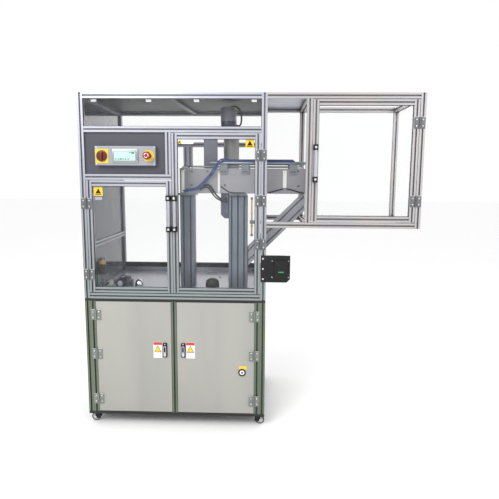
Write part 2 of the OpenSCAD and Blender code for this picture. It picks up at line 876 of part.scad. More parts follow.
module quill_shaft() {
    color([0.85, 0.86, 0.88]) place()
        translate([shoulder_x, quill_y, quill_floor]) {
            translate([0, 0, 10]) cylinder(r = 13, h = 6);
            cylinder(r = 8, h = 135);
            translate([0, 0, 132]) cylinder(r = 12, h = 4);
        }
}

module arm_cable() {
    color([0.06, 0.06, 0.07]) place() tube(smooth(arm_cable_run, 3), 5, 10);
}

// ---------- pieces on the deck and outside ----------

// Air regulator, gauge, terminal box and dome on the deck, and the brass rod on the side rail
module small_fittings() {
    place() {
        color([0.30, 0.31, 0.36])
            difference() {
                union() {
                    block([136, 150, deck_top], [222, 200, deck_top + 46]);
                    rod_y(179, 151, deck_top + 46, 32, 48);
                    block([92, 152, regulator_at[1] - 8], [137, 190, regulator_at[1] + 12]);
                }
                rod_y(regulator_at[0], 149, regulator_at[1], 5.05, 16);
            }
        color([0.80, 0.84, 0.78]) rod_y(103, 138, regulator_at[1] + 2, 16, 14 - gap);
        color([0.12, 0.12, 0.13])
            union() {
                block([57, 66, 858], [100, 96, 912]);
                block([72, 74, deck_top], [84, 86, 859]);
            }
        color([0.75, 0.50, 0.22]) block([60, 72, 912 + gap], [98, 90, 940]);
        color([0.75, 0.76, 0.78]) translate([253, 210, deck_top])
            rotate_extrude()
                polygon([[0, 0], [27, 0], [27, 6], [25, 15], [20, 26], [12, 36], [4, 41], [0, 42]]);
        color([0.70, 0.52, 0.20])
            union() {
                translate([917, 175, 1070]) cylinder(r = 4.5, h = 220);
                block([906, 166, 1140], [body_w - profile - gap, 184, 1160]);
            }
    }
}

module regulator_knob() {
    color([0.10, 0.10, 0.12]) place() {
        rod_y(regulator_at[0], 126, regulator_at[1], 26, 23.7);
        rod_y(regulator_at[0], 149, regulator_at[1], 5, 14);
    }
}

module deck_knob() {
    color([0.05, 0.05, 0.06]) place() translate([698, 105, deck_top])
        difference() {
            union() {
                rotate_extrude()
                    polygon([[0, 19], [36, 19], [39, 23], [39, 44], [37, 54], [31, 64], [20, 71], [0, 74]]);
                translate([0, 0, 0.3]) cylinder(r = 10, h = 22);
            }
            for (a = [0 : 30 : 330])
                rotate(a) translate([42, 0, 17]) cylinder(r = 4.5, h = 30);
        }
}

module display_bracket() {
    x0 = 972;
    x1 = 1131;
    z0 = 837;
    z1 = 985;
    color([0.08, 0.08, 0.09]) place() {
        difference() {
            block([x0, -3, z0], [x1, 0, z1]);
            translate([x1, 0, z0]) rotate([0, 45, 0]) cube([34, 20, 34], center = true);
            for (z = [z0 + 18, (z0 + z1) / 2, z1 - 18])
                rod_y(x0 + 12, -5, z, 2.7, 8);
        }
        block([body_w + 4, gap, z0 + 26], [x1 - 26, 60, z1 - 8]);
        block([1046, -14, z0 + 22], [1116, -3 - gap, z1 - 24]);
    }
}

// ---------- castors ----------

module castor_fork(x, y, dir) {
    axle = wheel_d / 2;
    color([0.10, 0.10, 0.11]) place() translate([x, y, 0]) {
        translate([0, 0, 51]) cylinder(r = 6, h = 8);
        difference() {
            union() {
                translate([0, 0, 51]) cylinder(r = 20, h = 5);
                for (s = [-1, 1])
                    translate([0, s > 0 ? 11 : -14, 0]) {
                        block([min(0, dir * trail) - 8, 0, axle - 6], [max(0, dir * trail) + 8, 3, 51.5]);
                    }
            }
            rod_y(dir * trail, -20, axle, 4.05, 40);
        }
    }
}

module castor_wheel(x, y, dir) {
    color([0.12, 0.12, 0.12]) place() translate([x + dir * trail, y, wheel_d / 2]) {
        difference() {
            rod_y(0, -10, 0, wheel_d / 2, 20);
            for (s = [-11, 8])
                difference() {
                    rod_y(0, s, 0, 17, 3);
                    rod_y(0, s - 1, 0, 7, 5);
                }
        }
        rod_y(0, -13.5, 0, 4, 27);
    }
}

module castor_fork_fl() { castor_fork(castor_x0, castor_inset, -1); }
module castor_fork_fr() { castor_fork(castor_x1, castor_inset, 1); }
module castor_fork_rl() { castor_fork(castor_x0, castor_y_rear, -1); }
module castor_fork_rr() { castor_fork(castor_x1, castor_y_rear, 1); }
module castor_wheel_fl() { castor_wheel(castor_x0, castor_inset, -1); }
module castor_wheel_fr() { castor_wheel(castor_x1, castor_inset, 1); }
module castor_wheel_rl() { castor_wheel(castor_x0, castor_y_rear, -1); }
module castor_wheel_rr() { castor_wheel(castor_x1, castor_y_rear, 1); }

base_posts();
base_rails();
base_panels();
black_boards();
upper_posts();
upper_rails();
mid_rails();
bay_frame();
deck_plate();
ceiling_plates();
fixed_panes();
control_plate();
operator_box();
legend_plates();
touch_panel();
main_switch_knob();
estop_button();
hinge_leaves();
left_door_frame();
left_door_pane();
left_door_fittings();
right_door_frame();
right_door_pane();
right_door_fittings();
bay_door_frame();
bay_door_pane();
bay_door_fittings();
cabinet_door_left();
cabinet_door_right();
latch_lever_left();
latch_lever_right();
conveyor_sides();
conveyor_belt();
conveyor_drive_roller();
conveyor_idler_roller();
conveyor_motor();
conveyor_guides();
conveyor_supports();
cable_loom();
upright_plate();
robot_pedestal();
robot_base();
inner_arm_casting();
outer_arm_casting();
outer_arm_cover();
quill_holder();
quill_shaft();
arm_cable();
small_fittings();
regulator_knob();
deck_knob();
display_bracket();
castor_fork_fl();
castor_fork_fr();
castor_fork_rl();
castor_fork_rr();
castor_wheel_fl();
castor_wheel_fr();
castor_wheel_rl();
castor_wheel_rr();
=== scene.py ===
"""Looks of the enclosed SCARA cell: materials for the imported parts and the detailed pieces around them.

Places are given in cell millimetres: x from the left face, y back from the front face, z up from the floor.
"""
import math

import bmesh
import bpy
from mathutils import Matrix, Vector


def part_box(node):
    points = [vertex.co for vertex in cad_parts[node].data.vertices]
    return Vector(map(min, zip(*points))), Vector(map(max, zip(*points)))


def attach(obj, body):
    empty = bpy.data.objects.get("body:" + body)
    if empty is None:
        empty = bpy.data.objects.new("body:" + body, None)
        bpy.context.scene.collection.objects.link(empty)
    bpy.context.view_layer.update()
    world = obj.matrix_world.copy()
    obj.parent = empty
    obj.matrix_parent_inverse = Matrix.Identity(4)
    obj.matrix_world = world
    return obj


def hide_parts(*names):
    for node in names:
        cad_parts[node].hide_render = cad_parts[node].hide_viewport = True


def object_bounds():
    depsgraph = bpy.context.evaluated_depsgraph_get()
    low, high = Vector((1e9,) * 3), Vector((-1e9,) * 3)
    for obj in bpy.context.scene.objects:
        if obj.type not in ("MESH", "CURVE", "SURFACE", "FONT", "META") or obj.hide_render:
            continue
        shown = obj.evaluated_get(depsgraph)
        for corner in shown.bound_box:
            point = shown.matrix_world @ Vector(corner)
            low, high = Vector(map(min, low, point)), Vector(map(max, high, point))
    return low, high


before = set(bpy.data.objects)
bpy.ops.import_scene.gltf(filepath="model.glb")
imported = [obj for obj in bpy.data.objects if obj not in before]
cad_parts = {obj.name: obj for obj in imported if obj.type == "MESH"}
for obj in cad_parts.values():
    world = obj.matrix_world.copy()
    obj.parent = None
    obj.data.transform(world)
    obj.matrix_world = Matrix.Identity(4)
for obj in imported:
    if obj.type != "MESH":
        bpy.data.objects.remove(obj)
cad_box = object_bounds()

MM = 0.001
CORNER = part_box("base_posts")[0]
TOP = cad_box[1].z / MM


def at(x, y, z):
    """Point in the row frame, from cell millimetres."""
    return Vector((CORNER.x + x * MM, CORNER.y + y * MM, z * MM))


# ---------- camera, light and floor ----------

def make_camera():
    data = bpy.data.cameras.new("camera")
    data.sensor_width = 36
    data.lens = 35.57
    camera = bpy.data.objects.new("camera", data)
    bpy.context.scene.collection.objects.link(camera)
    yaw, pitch, roll = 0.030957, -0.14124, 0.0062155
    forward = Vector((-math.sin(yaw) * math.cos(pitch), math.cos(yaw) * math.cos(pitch), math.sin(pitch)))
    right = Vector((math.cos(yaw), math.sin(yaw), 0))
    up = right.cross(forward)
    right_rolled = math.cos(roll) * right + math.sin(roll) * up
    up_rolled = -math.sin(roll) * right + math.cos(roll) * up
    turn = Matrix((right_rolled, up_rolled, -forward)).transposed()
    camera.matrix_world = Matrix.Translation(at(992.1, -2632, 1390.9)) @ turn.to_4x4()
    bpy.context.scene.camera = camera


def area_light(name, place, target, size, power):
    data = bpy.data.lights.new(name, "AREA")
    data.size = size
    data.energy = power
    lamp = bpy.data.objects.new(name, data)
    bpy.context.scene.collection.objects.link(lamp)
    lamp.location = place
    lamp.rotation_mode = "QUATERNION"
    lamp.rotation_quaternion = (target - place).to_track_quat("-Z", "Y")


def make_studio():
    world = bpy.data.worlds.new("studio")
    bpy.context.scene.world = world
    bpy.context.scene.view_settings.view_transform = "Standard"
    world.use_nodes = True
    background = world.node_tree.nodes["Background"]
    background.inputs["Color"].default_value = (1.0, 1.0, 1.0, 1)
    background.inputs["Strength"].default_value = 1.0
    middle = at(907, 335, 1000)
    area_light("key", at(-900, -3200, 3600), middle, 2.0, 100)
    area_light("fill", at(3600, -2600, 2400), middle, 2.6, 26)
    area_light("back", at(900, 3600, 3200), middle, 3.0, 24)
    data = bpy.data.meshes.new("floor")
    reach = 30
    data.from_pydata([(-reach, -reach, 0), (reach, -reach, 0), (reach, reach, 0), (-reach, reach, 0)],
                     [], [(0, 1, 2, 3)])
    floor = bpy.data.objects.new("floor", data)
    bpy.context.scene.collection.objects.link(floor)
    floor.data.materials.append(surface("floor_paint", (0.97, 0.97, 0.97), rough=0.9, grain=3, vary=0.002,
                                        patch=(0.965, 0.965, 0.965)))


# ---------- materials ----------

def surface(name, colour, rough=0.5, metal=0.0, grain=300.0, vary=0.05, bump=0.0, stretch=(1, 1, 1),
            groove_shade=0.0, coat=0.0, patch=None, patch_stretch=(1, 1, 1), low=None, specular=0.5):
    """Procedural surface: fine grain in colour and roughness, broad patches, grain bump and painted shade in
    crevices.

    stretch squeezes the grain along an axis for a brushed look; a nonzero shade amount paints shade into
    grooves, slots and crevices found by an occlusion test; patch is a second colour that shows in broad soft
    areas, drawn out along an axis by patch_stretch; low is a tint that takes over towards the floor.
    """
    made = bpy.data.materials.new(name)
    made.use_nodes = True
    nodes = made.node_tree.nodes
    links = made.node_tree.links
    shader = nodes["Principled BSDF"]
    shader.inputs["Metallic"].default_value = metal
    shader.inputs["Coat Weight"].default_value = coat
    shader.inputs["Specular IOR Level"].default_value = specular
    place = nodes.new("ShaderNodeTexCoord")
    squeeze = nodes.new("ShaderNodeMapping")
    squeeze.inputs["Scale"].default_value = stretch
    links.new(place.outputs["Object"], squeeze.inputs["Vector"])
    fine = nodes.new("ShaderNodeTexNoise")
    fine.inputs["Scale"].default_value = grain
    fine.inputs["Detail"].default_value = 4
    links.new(squeeze.outputs["Vector"], fine.inputs["Vector"])
    broad = nodes.new("ShaderNodeTexNoise")
    broad.inputs["Scale"].default_value = 3.5
    broad.inputs["Detail"].default_value = 3
    spread = nodes.new("ShaderNodeMapping")
    spread.inputs["Scale"].default_value = patch_stretch
    links.new(place.outputs["Object"], spread.inputs["Vector"])
    links.new(spread.outputs["Vector"], broad.inputs["Vector"])
    areas = nodes.new("ShaderNodeMapRange")
    areas.inputs["From Min"].default_value = 0.38
    areas.inputs["From Max"].default_value = 0.62
    links.new(broad.outputs["Fac"], areas.inputs["Value"])
    shade = nodes.new("ShaderNodeMapRange")
    shade.inputs["To Min"].default_value = 1 - 2 * vary
    shade.inputs["To Max"].default_value = 1 + 2 * vary
    links.new(fine.outputs["Fac"], shade.inputs["Value"])
    base = nodes.new("ShaderNodeMix")
    base.data_type = "RGBA"
    base.inputs["A"].default_value = (*colour, 1)
    base.inputs["B"].default_value = (*(patch or [c * 0.93 for c in colour]), 1)
    links.new(areas.outputs["Result"], base.inputs["Factor"])
    base_out = base.outputs["Result"]
    if low:
        height = nodes.new("ShaderNodeSeparateXYZ")
        links.new(place.outputs["Object"], height.inputs["Vector"])
        fade = nodes.new("ShaderNodeMapRange")
        fade.interpolation_type = "SMOOTHSTEP"
        fade.inputs["From Min"].default_value = 0.80
        fade.inputs["From Max"].default_value = 1.45
        links.new(height.outputs["Z"], fade.inputs["Value"])
        tint = nodes.new("ShaderNodeMix")
        tint.data_type = "RGBA"
        tint.inputs["A"].default_value = (*low, 1)
        links.new(fade.outputs["Result"], tint.inputs["Factor"])
        links.new(base_out, tint.inputs["B"])
        base_out = tint.outputs["Result"]
    tone = nodes.new("ShaderNodeVectorMath")
    tone.operation = "SCALE"
    links.new(base_out, tone.inputs[0])
    links.new(shade.outputs["Result"], tone.inputs["Scale"])
    colour_out = tone.outputs["Vector"]
    # Painted shade: an occlusion test darkens the colour in grooves, slots and crevices, where shade falls.
    if groove_shade:
        crevice = nodes.new("ShaderNodeAmbientOcclusion")
        crevice.only_local = True
        crevice.samples = 6
        crevice.inputs["Distance"].default_value = 0.018
        depth = nodes.new("ShaderNodeMapRange")
        depth.inputs["From Min"].default_value = 0.45
        depth.inputs["From Max"].default_value = 0.95
        depth.inputs["To Min"].default_value = 1 - groove_shade
        links.new(crevice.outputs["AO"], depth.inputs["Value"])
        painted_shade = nodes.new("ShaderNodeVectorMath")
        painted_shade.operation = "SCALE"
        links.new(colour_out, painted_shade.inputs[0])
        links.new(depth.outputs["Result"], painted_shade.inputs["Scale"])
        colour_out = painted_shade.outputs["Vector"]
    links.new(colour_out, shader.inputs["Base Color"])
    gloss = nodes.new("ShaderNodeMapRange")
    gloss.inputs["To Min"].default_value = max(0.02, rough - 0.08)
    gloss.inputs["To Max"].default_value = min(1.0, rough + 0.08)
    links.new(fine.outputs["Fac"], gloss.inputs["Value"])
    links.new(gloss.outputs["Result"], shader.inputs["Roughness"])
    if bump:
        relief = nodes.new("ShaderNodeBump")
        relief.inputs["Strength"].default_value = bump
        relief.inputs["Distance"].default_value = 0.0004
        links.new(fine.outputs["Fac"], relief.inputs["Height"])
        links.new(relief.outputs["Normal"], shader.inputs["Normal"])
    return made


def clear_sheet(name, tint, veil):
    """Polycarbonate pane: a veil of the given strength, a little stronger in soft wiped streaks."""
    made = bpy.data.materials.new(name)
    made.use_nodes = True
    nodes = made.node_tree.nodes
    links = made.node_tree.links
    shader = nodes["Principled BSDF"]
    shader.inputs["Base Color"].default_value = (*tint, 1)
    shader.inputs["Roughness"].default_value = 0.06
    shader.inputs["IOR"].default_value = 1.58
    place = nodes.new("ShaderNodeTexCoord")
    squeeze = nodes.new("ShaderNodeMapping")
    squeeze.inputs["Scale"].default_value = (1, 1, 0.35)
    links.new(place.outputs["Object"], squeeze.inputs["Vector"])
    streak = nodes.new("ShaderNodeTexNoise")
    streak.inputs["Scale"].default_value = 6
    streak.inputs["Detail"].default_value = 4
    links.new(squeeze.outputs["Vector"], streak.inputs["Vector"])
    amount = nodes.new("ShaderNodeMapRange")
    amount.inputs["To Min"].default_value = veil * 0.4
    amount.inputs["To Max"].default_value = veil * 1.6
    links.new(streak.outputs["Fac"], amount.inputs["Value"])
    links.new(amount.outputs["Result"], shader.inputs["Alpha"])
    return made


def lit_screen(name, colour, strength):
    """Back-lit display glass with a slight brightness drift across it."""
    made = surface(name, colour, rough=0.25, grain=90, vary=0.02, patch=[c * 0.9 for c in colour])
    shader = made.node_tree.nodes["Principled BSDF"]
    shader.inputs["Emission Color"].default_value = (*colour, 1)
    shader.inputs["Emission Strength"].default_value = strength
    return made


BRUSH_X = (0.04, 1, 1)
ALU = surface("anodised_light", (0.454, 0.464, 0.521), rough=0.36, metal=0.75, grain=420, vary=0.03,
              bump=0.05, groove_shade=0.82, patch=(0.413, 0.423, 0.478),
              low=(0.281, 0.310, 0.315))
ALU_GREEN = surface("anodised_cabinet", (0.155, 0.183, 0.140), rough=0.40, metal=0.70, grain=420, vary=0.03,
                    bump=0.05, groove_shade=0.85, patch=(0.129, 0.161, 0.120))
ALU_BAY = surface("anodised_bay", (0.437, 0.424, 0.442), rough=0.38, metal=0.72, grain=420, vary=0.03,
                  bump=0.05, groove_shade=0.82, patch=(0.477, 0.447, 0.442))
SHEET = surface("cabinet_paint", (0.352, 0.347, 0.320), rough=0.46, grain=900, vary=0.015, bump=0.10,
                patch=(0.309, 0.309, 0.288), patch_stretch=(1, 1, 0.18))
BOARD = surface("black_board", (0.012, 0.012, 0.013), rough=0.55, grain=500, vary=0.10, bump=0.15)
PANE = clear_sheet("clear_pane", (0.70, 0.74, 0.76), 0.022)
# Painted shade and reflection on clear side panes: the near-opaque dark bluish veil is painted shade with
# reflection, and the lighter warm veil is painted reflection.
SIDE_PANE_PAINTED_SHADE = clear_sheet("side_pane_painted_shade", (0.040, 0.047, 0.075), 0.86)
SIDE_PANE_PAINTED_REFLECTION = clear_sheet("side_pane_painted_reflection", (0.36, 0.34, 0.30), 0.30)
DECK = surface("deck_steel", (0.370, 0.366, 0.406), rough=0.36, metal=0.55, grain=260, vary=0.05, bump=0.06,
               stretch=BRUSH_X, patch=(0.320, 0.323, 0.379))
# Painted shade: the ceiling plates and the ceiling bar are near-black for the shade on their undersides.
CEILING = surface("ceiling_painted_shade", (0.015, 0.020, 0.016), rough=0.52, metal=0.2, grain=60, vary=0.08,
                  patch=(0.024, 0.029, 0.024))
CEILING_BAR = surface("ceiling_bar_painted_shade", (0.057, 0.069, 0.059), rough=0.40, metal=0.3, grain=300, vary=0.05)
CONTROL = surface("control_paint", (0.052, 0.053, 0.071), rough=0.42, grain=800, vary=0.03, bump=0.10,
                  patch=(0.058, 0.059, 0.077))
BOX = surface("operator_box_metal", (0.344, 0.363, 0.385), rough=0.34, metal=0.6, grain=300, vary=0.03,
              bump=0.04, stretch=BRUSH_X)
YELLOW = surface("legend_yellow", (0.86, 0.56, 0.02), rough=0.38, grain=500, vary=0.03, bump=0.04)
RED = surface("button_red", (0.30, 0.010, 0.014), rough=0.30, grain=300, vary=0.03, coat=0.2)
DARK_RED = surface("knob_dark_red", (0.105, 0.007, 0.007), rough=0.32, grain=300, vary=0.04, bump=0.04,
                   coat=0.2)
WHITE = surface("print_white", (0.82, 0.82, 0.82), rough=0.5, grain=300, vary=0.02)
STRIP_RED = surface("print_red", (0.55, 0.045, 0.03), rough=0.5, grain=300, vary=0.03)
GREY_PRINT = surface("print_grey", (0.38, 0.38, 0.42), rough=0.5, grain=300, vary=0.03)
BEZEL = surface("bezel_grey", (0.27, 0.29, 0.31), rough=0.42, grain=700, vary=0.03, bump=0.10)
SCREEN = lit_screen("display_green", (0.330, 0.490, 0.440), 0.70)
SCREEN_MARK = surface("display_mark", (0.01, 0.17, 0.09), rough=0.4, grain=300, vary=0.03)
HINGE = surface("hinge_casting", (0.167, 0.171, 0.183), rough=0.40, metal=0.7, grain=500, vary=0.06,
                bump=0.18, groove_shade=0.5)
HINGE_GREEN = surface("hinge_casting_low", (0.227, 0.252, 0.229), rough=0.42, metal=0.6, grain=500, vary=0.06,
                      bump=0.18, groove_shade=0.5)
SCREW_AND_HIGHLIGHT = surface("screw_and_highlight_steel", (0.80, 0.80, 0.80), rough=0.22, metal=0.9, grain=500, vary=0.04, groove_shade=0.6)
DARK_SCREW = surface("screw_black", (0.035, 0.035, 0.04), rough=0.35, metal=0.3, grain=500, vary=0.05,
                     groove_shade=0.5)
BLACK = surface("moulded_black", (0.009, 0.009, 0.010), rough=0.46, specular=0.3, grain=700, vary=0.08,
                bump=0.20)
HANDLE_BAR = surface("handle_bar", (0.480, 0.482, 0.529), rough=0.28, metal=0.75, grain=300, vary=0.03,
                     bump=0.04, stretch=(1, 1, 0.04))
CONVEYOR = surface("conveyor_plate", (0.248, 0.247, 0.264), rough=0.38, metal=0.55, grain=240, vary=0.06,
                   bump=0.06, stretch=BRUSH_X, patch=(0.285, 0.283, 0.303))
# Painted shade: the rear sill of the mid rails is near-black for the shade on its front face.
SILL_SHADE = surface("sill_painted_shade", (0.014, 0.018, 0.021), rough=0.55, metal=0.2, grain=420, vary=0.04, bump=0.05,
               groove_shade=0.5, specular=0.3)
# Painted highlight: the diagonal brace is a lighter copy of the legs' profile colour, standing in for its
# highlights.
BRACE_PAINTED_HIGHLIGHT = surface("brace_painted_highlight", (0.32, 0.33, 0.36), rough=0.36, metal=0.6, grain=420, vary=0.03, bump=0.05,
                groove_shade=0.6)
UPRIGHT = surface("upright_sheet", (0.201, 0.209, 0.243), rough=0.36, metal=0.55, grain=240, vary=0.06,
                  bump=0.06, stretch=(1, 1, 0.04), patch=(0.179, 0.187, 0.218))
BELT = surface("belt_rubber", (0.016, 0.050, 0.040), rough=0.62, grain=600, vary=0.10, bump=0.25)
STEEL = surface("turned_steel", (0.58, 0.59, 0.60), rough=0.26, metal=0.9, grain=300, vary=0.05,
                stretch=(1, 0.05, 1))
MOTOR = surface("motor_paint", (0.073, 0.082, 0.126), rough=0.42, metal=0.3, grain=600, vary=0.05, bump=0.20)
GUIDE = surface("guide_rod", (0.212, 0.235, 0.259), rough=0.30, metal=0.7, grain=260, vary=0.04,
                stretch=BRUSH_X)
LEG = surface("leg_anodised", (0.180, 0.205, 0.250), rough=0.38, metal=0.6, grain=420, vary=0.03, bump=0.05,
              groove_shade=0.75, patch=(0.158, 0.182, 0.219))
BLUE = surface("cable_blue", (0.022, 0.048, 0.185), rough=0.42, grain=700, vary=0.05, bump=0.10)
CABLE = surface("cable_black", (0.012, 0.012, 0.014), rough=0.48, grain=700, vary=0.08, bump=0.12)
CASTING = surface("robot_casting", (0.327, 0.318, 0.319), rough=0.46, metal=0.15, grain=900, vary=0.04,
                  bump=0.30, groove_shade=0.4)
NAVY = surface("robot_navy", (0.018, 0.022, 0.055), rough=0.38, metal=0.2, grain=800, vary=0.06, bump=0.20)
COVER = surface("robot_cover", (0.115, 0.117, 0.146), rough=0.34, grain=800, vary=0.02, bump=0.10, coat=0.15)
CHROME = surface("ground_shaft", (0.78, 0.79, 0.80), rough=0.12, metal=1.0, grain=300, vary=0.02,
                 stretch=(1, 1, 0.1))
BRASS = surface("brass", (0.62, 0.43, 0.14), rough=0.30, metal=0.85, grain=300, vary=0.08, bump=0.05)
COPPER = surface("copper_orange", (0.36, 0.22, 0.10), rough=0.42, metal=0.4, grain=300, vary=0.12, bump=0.08)
BRACKET = surface("bracket_black", (0.006, 0.008, 0.007), rough=0.46, metal=0.10, specular=0.35, grain=700,
                  vary=0.08, bump=0.18)
RUBBER = surface("wheel_rubber", (0.060, 0.062, 0.064), rough=0.60, grain=500, vary=0.10, bump=0.22)
HUB = surface("wheel_hub", (0.55, 0.56, 0.56), rough=0.40, metal=0.3, grain=500, vary=0.05, bump=0.05)
REGULATOR = surface("regulator_paint", (0.055, 0.058, 0.085), rough=0.34, metal=0.2, grain=700, vary=0.06,
                    bump=0.15)
DIAL_FACE_AND_HIGHLIGHT = surface("dial_face_and_highlight", (0.34, 0.34, 0.50), rough=0.34, metal=0.3, grain=500, vary=0.04)
GAUGE = surface("gauge_face", (0.42, 0.50, 0.40), rough=0.36, grain=500, vary=0.05)
BAY_CEILING = surface("bay_ceiling_paint", (0.451, 0.466, 0.543), rough=0.34, metal=0.35, grain=60, vary=0.06,
                      patch=(0.372, 0.390, 0.465))
GREEN = surface("terminal_green", (0.03, 0.30, 0.12), rough=0.42, grain=500, vary=0.05)
STRAP = surface("strap_white", (0.74, 0.73, 0.68), rough=0.5, grain=500, vary=0.04, bump=0.08)

NODE_LOOKS = {
    ALU: ["upper_posts", "upper_rails", "mid_rails", "left_door_frame", "right_door_frame"],
    ALU_BAY: ["bay_frame", "bay_door_frame"],
    ALU_GREEN: ["base_posts", "base_rails"],
    SHEET: ["base_panels"],
    BOARD: ["black_boards"],
    PANE: ["fixed_panes", "left_door_pane", "right_door_pane", "bay_door_pane"],
    DECK: ["deck_plate"],
    CEILING: ["ceiling_plates"],
    CONTROL: ["control_plate"],
    BOX: ["operator_box"],
    YELLOW: ["legend_plates"],
    CONVEYOR: ["conveyor_sides"],
    UPRIGHT: ["upright_plate"],
    BELT: ["conveyor_belt"],
    STEEL: ["conveyor_drive_roller", "conveyor_idler_roller", "quill_holder"],
    MOTOR: ["conveyor_motor"],
    GUIDE: ["conveyor_guides"],
    LEG: ["conveyor_supports", "robot_pedestal"],
    CASTING: ["robot_base", "inner_arm_casting"],
    NAVY: ["outer_arm_casting"],
    CHROME: ["quill_shaft"],
}
BEVELS = {
    0.8: ["upper_posts", "upper_rails", "mid_rails", "left_door_frame", "right_door_frame", "bay_frame",
          "bay_door_frame", "base_posts", "base_rails"],
    1.0: ["conveyor_supports", "robot_pedestal", "operator_box", "conveyor_sides", "upright_plate",
          "conveyor_motor"],
    0.5: ["control_plate", "deck_plate", "ceiling_plates", "legend_plates", "conveyor_guides"],
    1.5: ["robot_base", "inner_arm_casting", "outer_arm_casting", "black_boards"],
}


def dress_nodes():
    """Materials and softened edges for the CAD nodes that stay."""
    for look, names in NODE_LOOKS.items():
        for name in names:
            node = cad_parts[name]
            node.data.materials.clear()
            node.data.materials.append(look)
    for width, names in BEVELS.items():
        for name in names:
            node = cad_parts[name]
            weld = node.modifiers.new("weld", "WELD")
            weld.merge_threshold = 0.00002
            soften = node.modifiers.new("soften", "BEVEL")
            soften.width = width * MM
            soften.segments = 2
            soften.limit_method = "ANGLE"
            soften.angle_limit = math.radians(40)
            soften.harden_normals = True


def second_look(name, look, wanted):
    """Gives a second material to the faces of a node whose middle, in cell millimetres, is wanted."""
    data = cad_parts[name].data
    data.materials.append(look)
    slot = len(data.materials) - 1
    for face in data.polygons:
        middle = (face.center - CORNER) / MM
        if wanted(middle.x, middle.y, face.center.z / MM):
            face.material_index = slot


def dress_panes_and_ceiling():
    # The left side pane and the bay partition pane get veils that paint shade and reflection onto the clear
    # sheet.
    second_look("fixed_panes", SIDE_PANE_PAINTED_SHADE, lambda x, y, z: 10 < x < 20 and z < 1640)
    second_look("fixed_panes", SIDE_PANE_PAINTED_REFLECTION, lambda x, y, z: 10 < x < 20 and z > 1640)
    second_look("fixed_panes", SIDE_PANE_PAINTED_REFLECTION, lambda x, y, z: 980 < x < 990)
    # The bay end of the ceiling plates stays light grey; the rest keeps the near-black painted shade.
    second_look("ceiling_plates", BAY_CEILING, lambda x, y, z: x > 1000)
    # Painted shade on the rear sill faces.
    second_look("mid_rails", SILL_SHADE, lambda x, y, z: y > 705 and z < 830)
    # The brace faces get the lighter copy as a painted highlight.
    second_look("conveyor_supports", BRACE_PAINTED_HIGHLIGHT, lambda x, y, z: x > 900)


# ---------- mesh building ----------

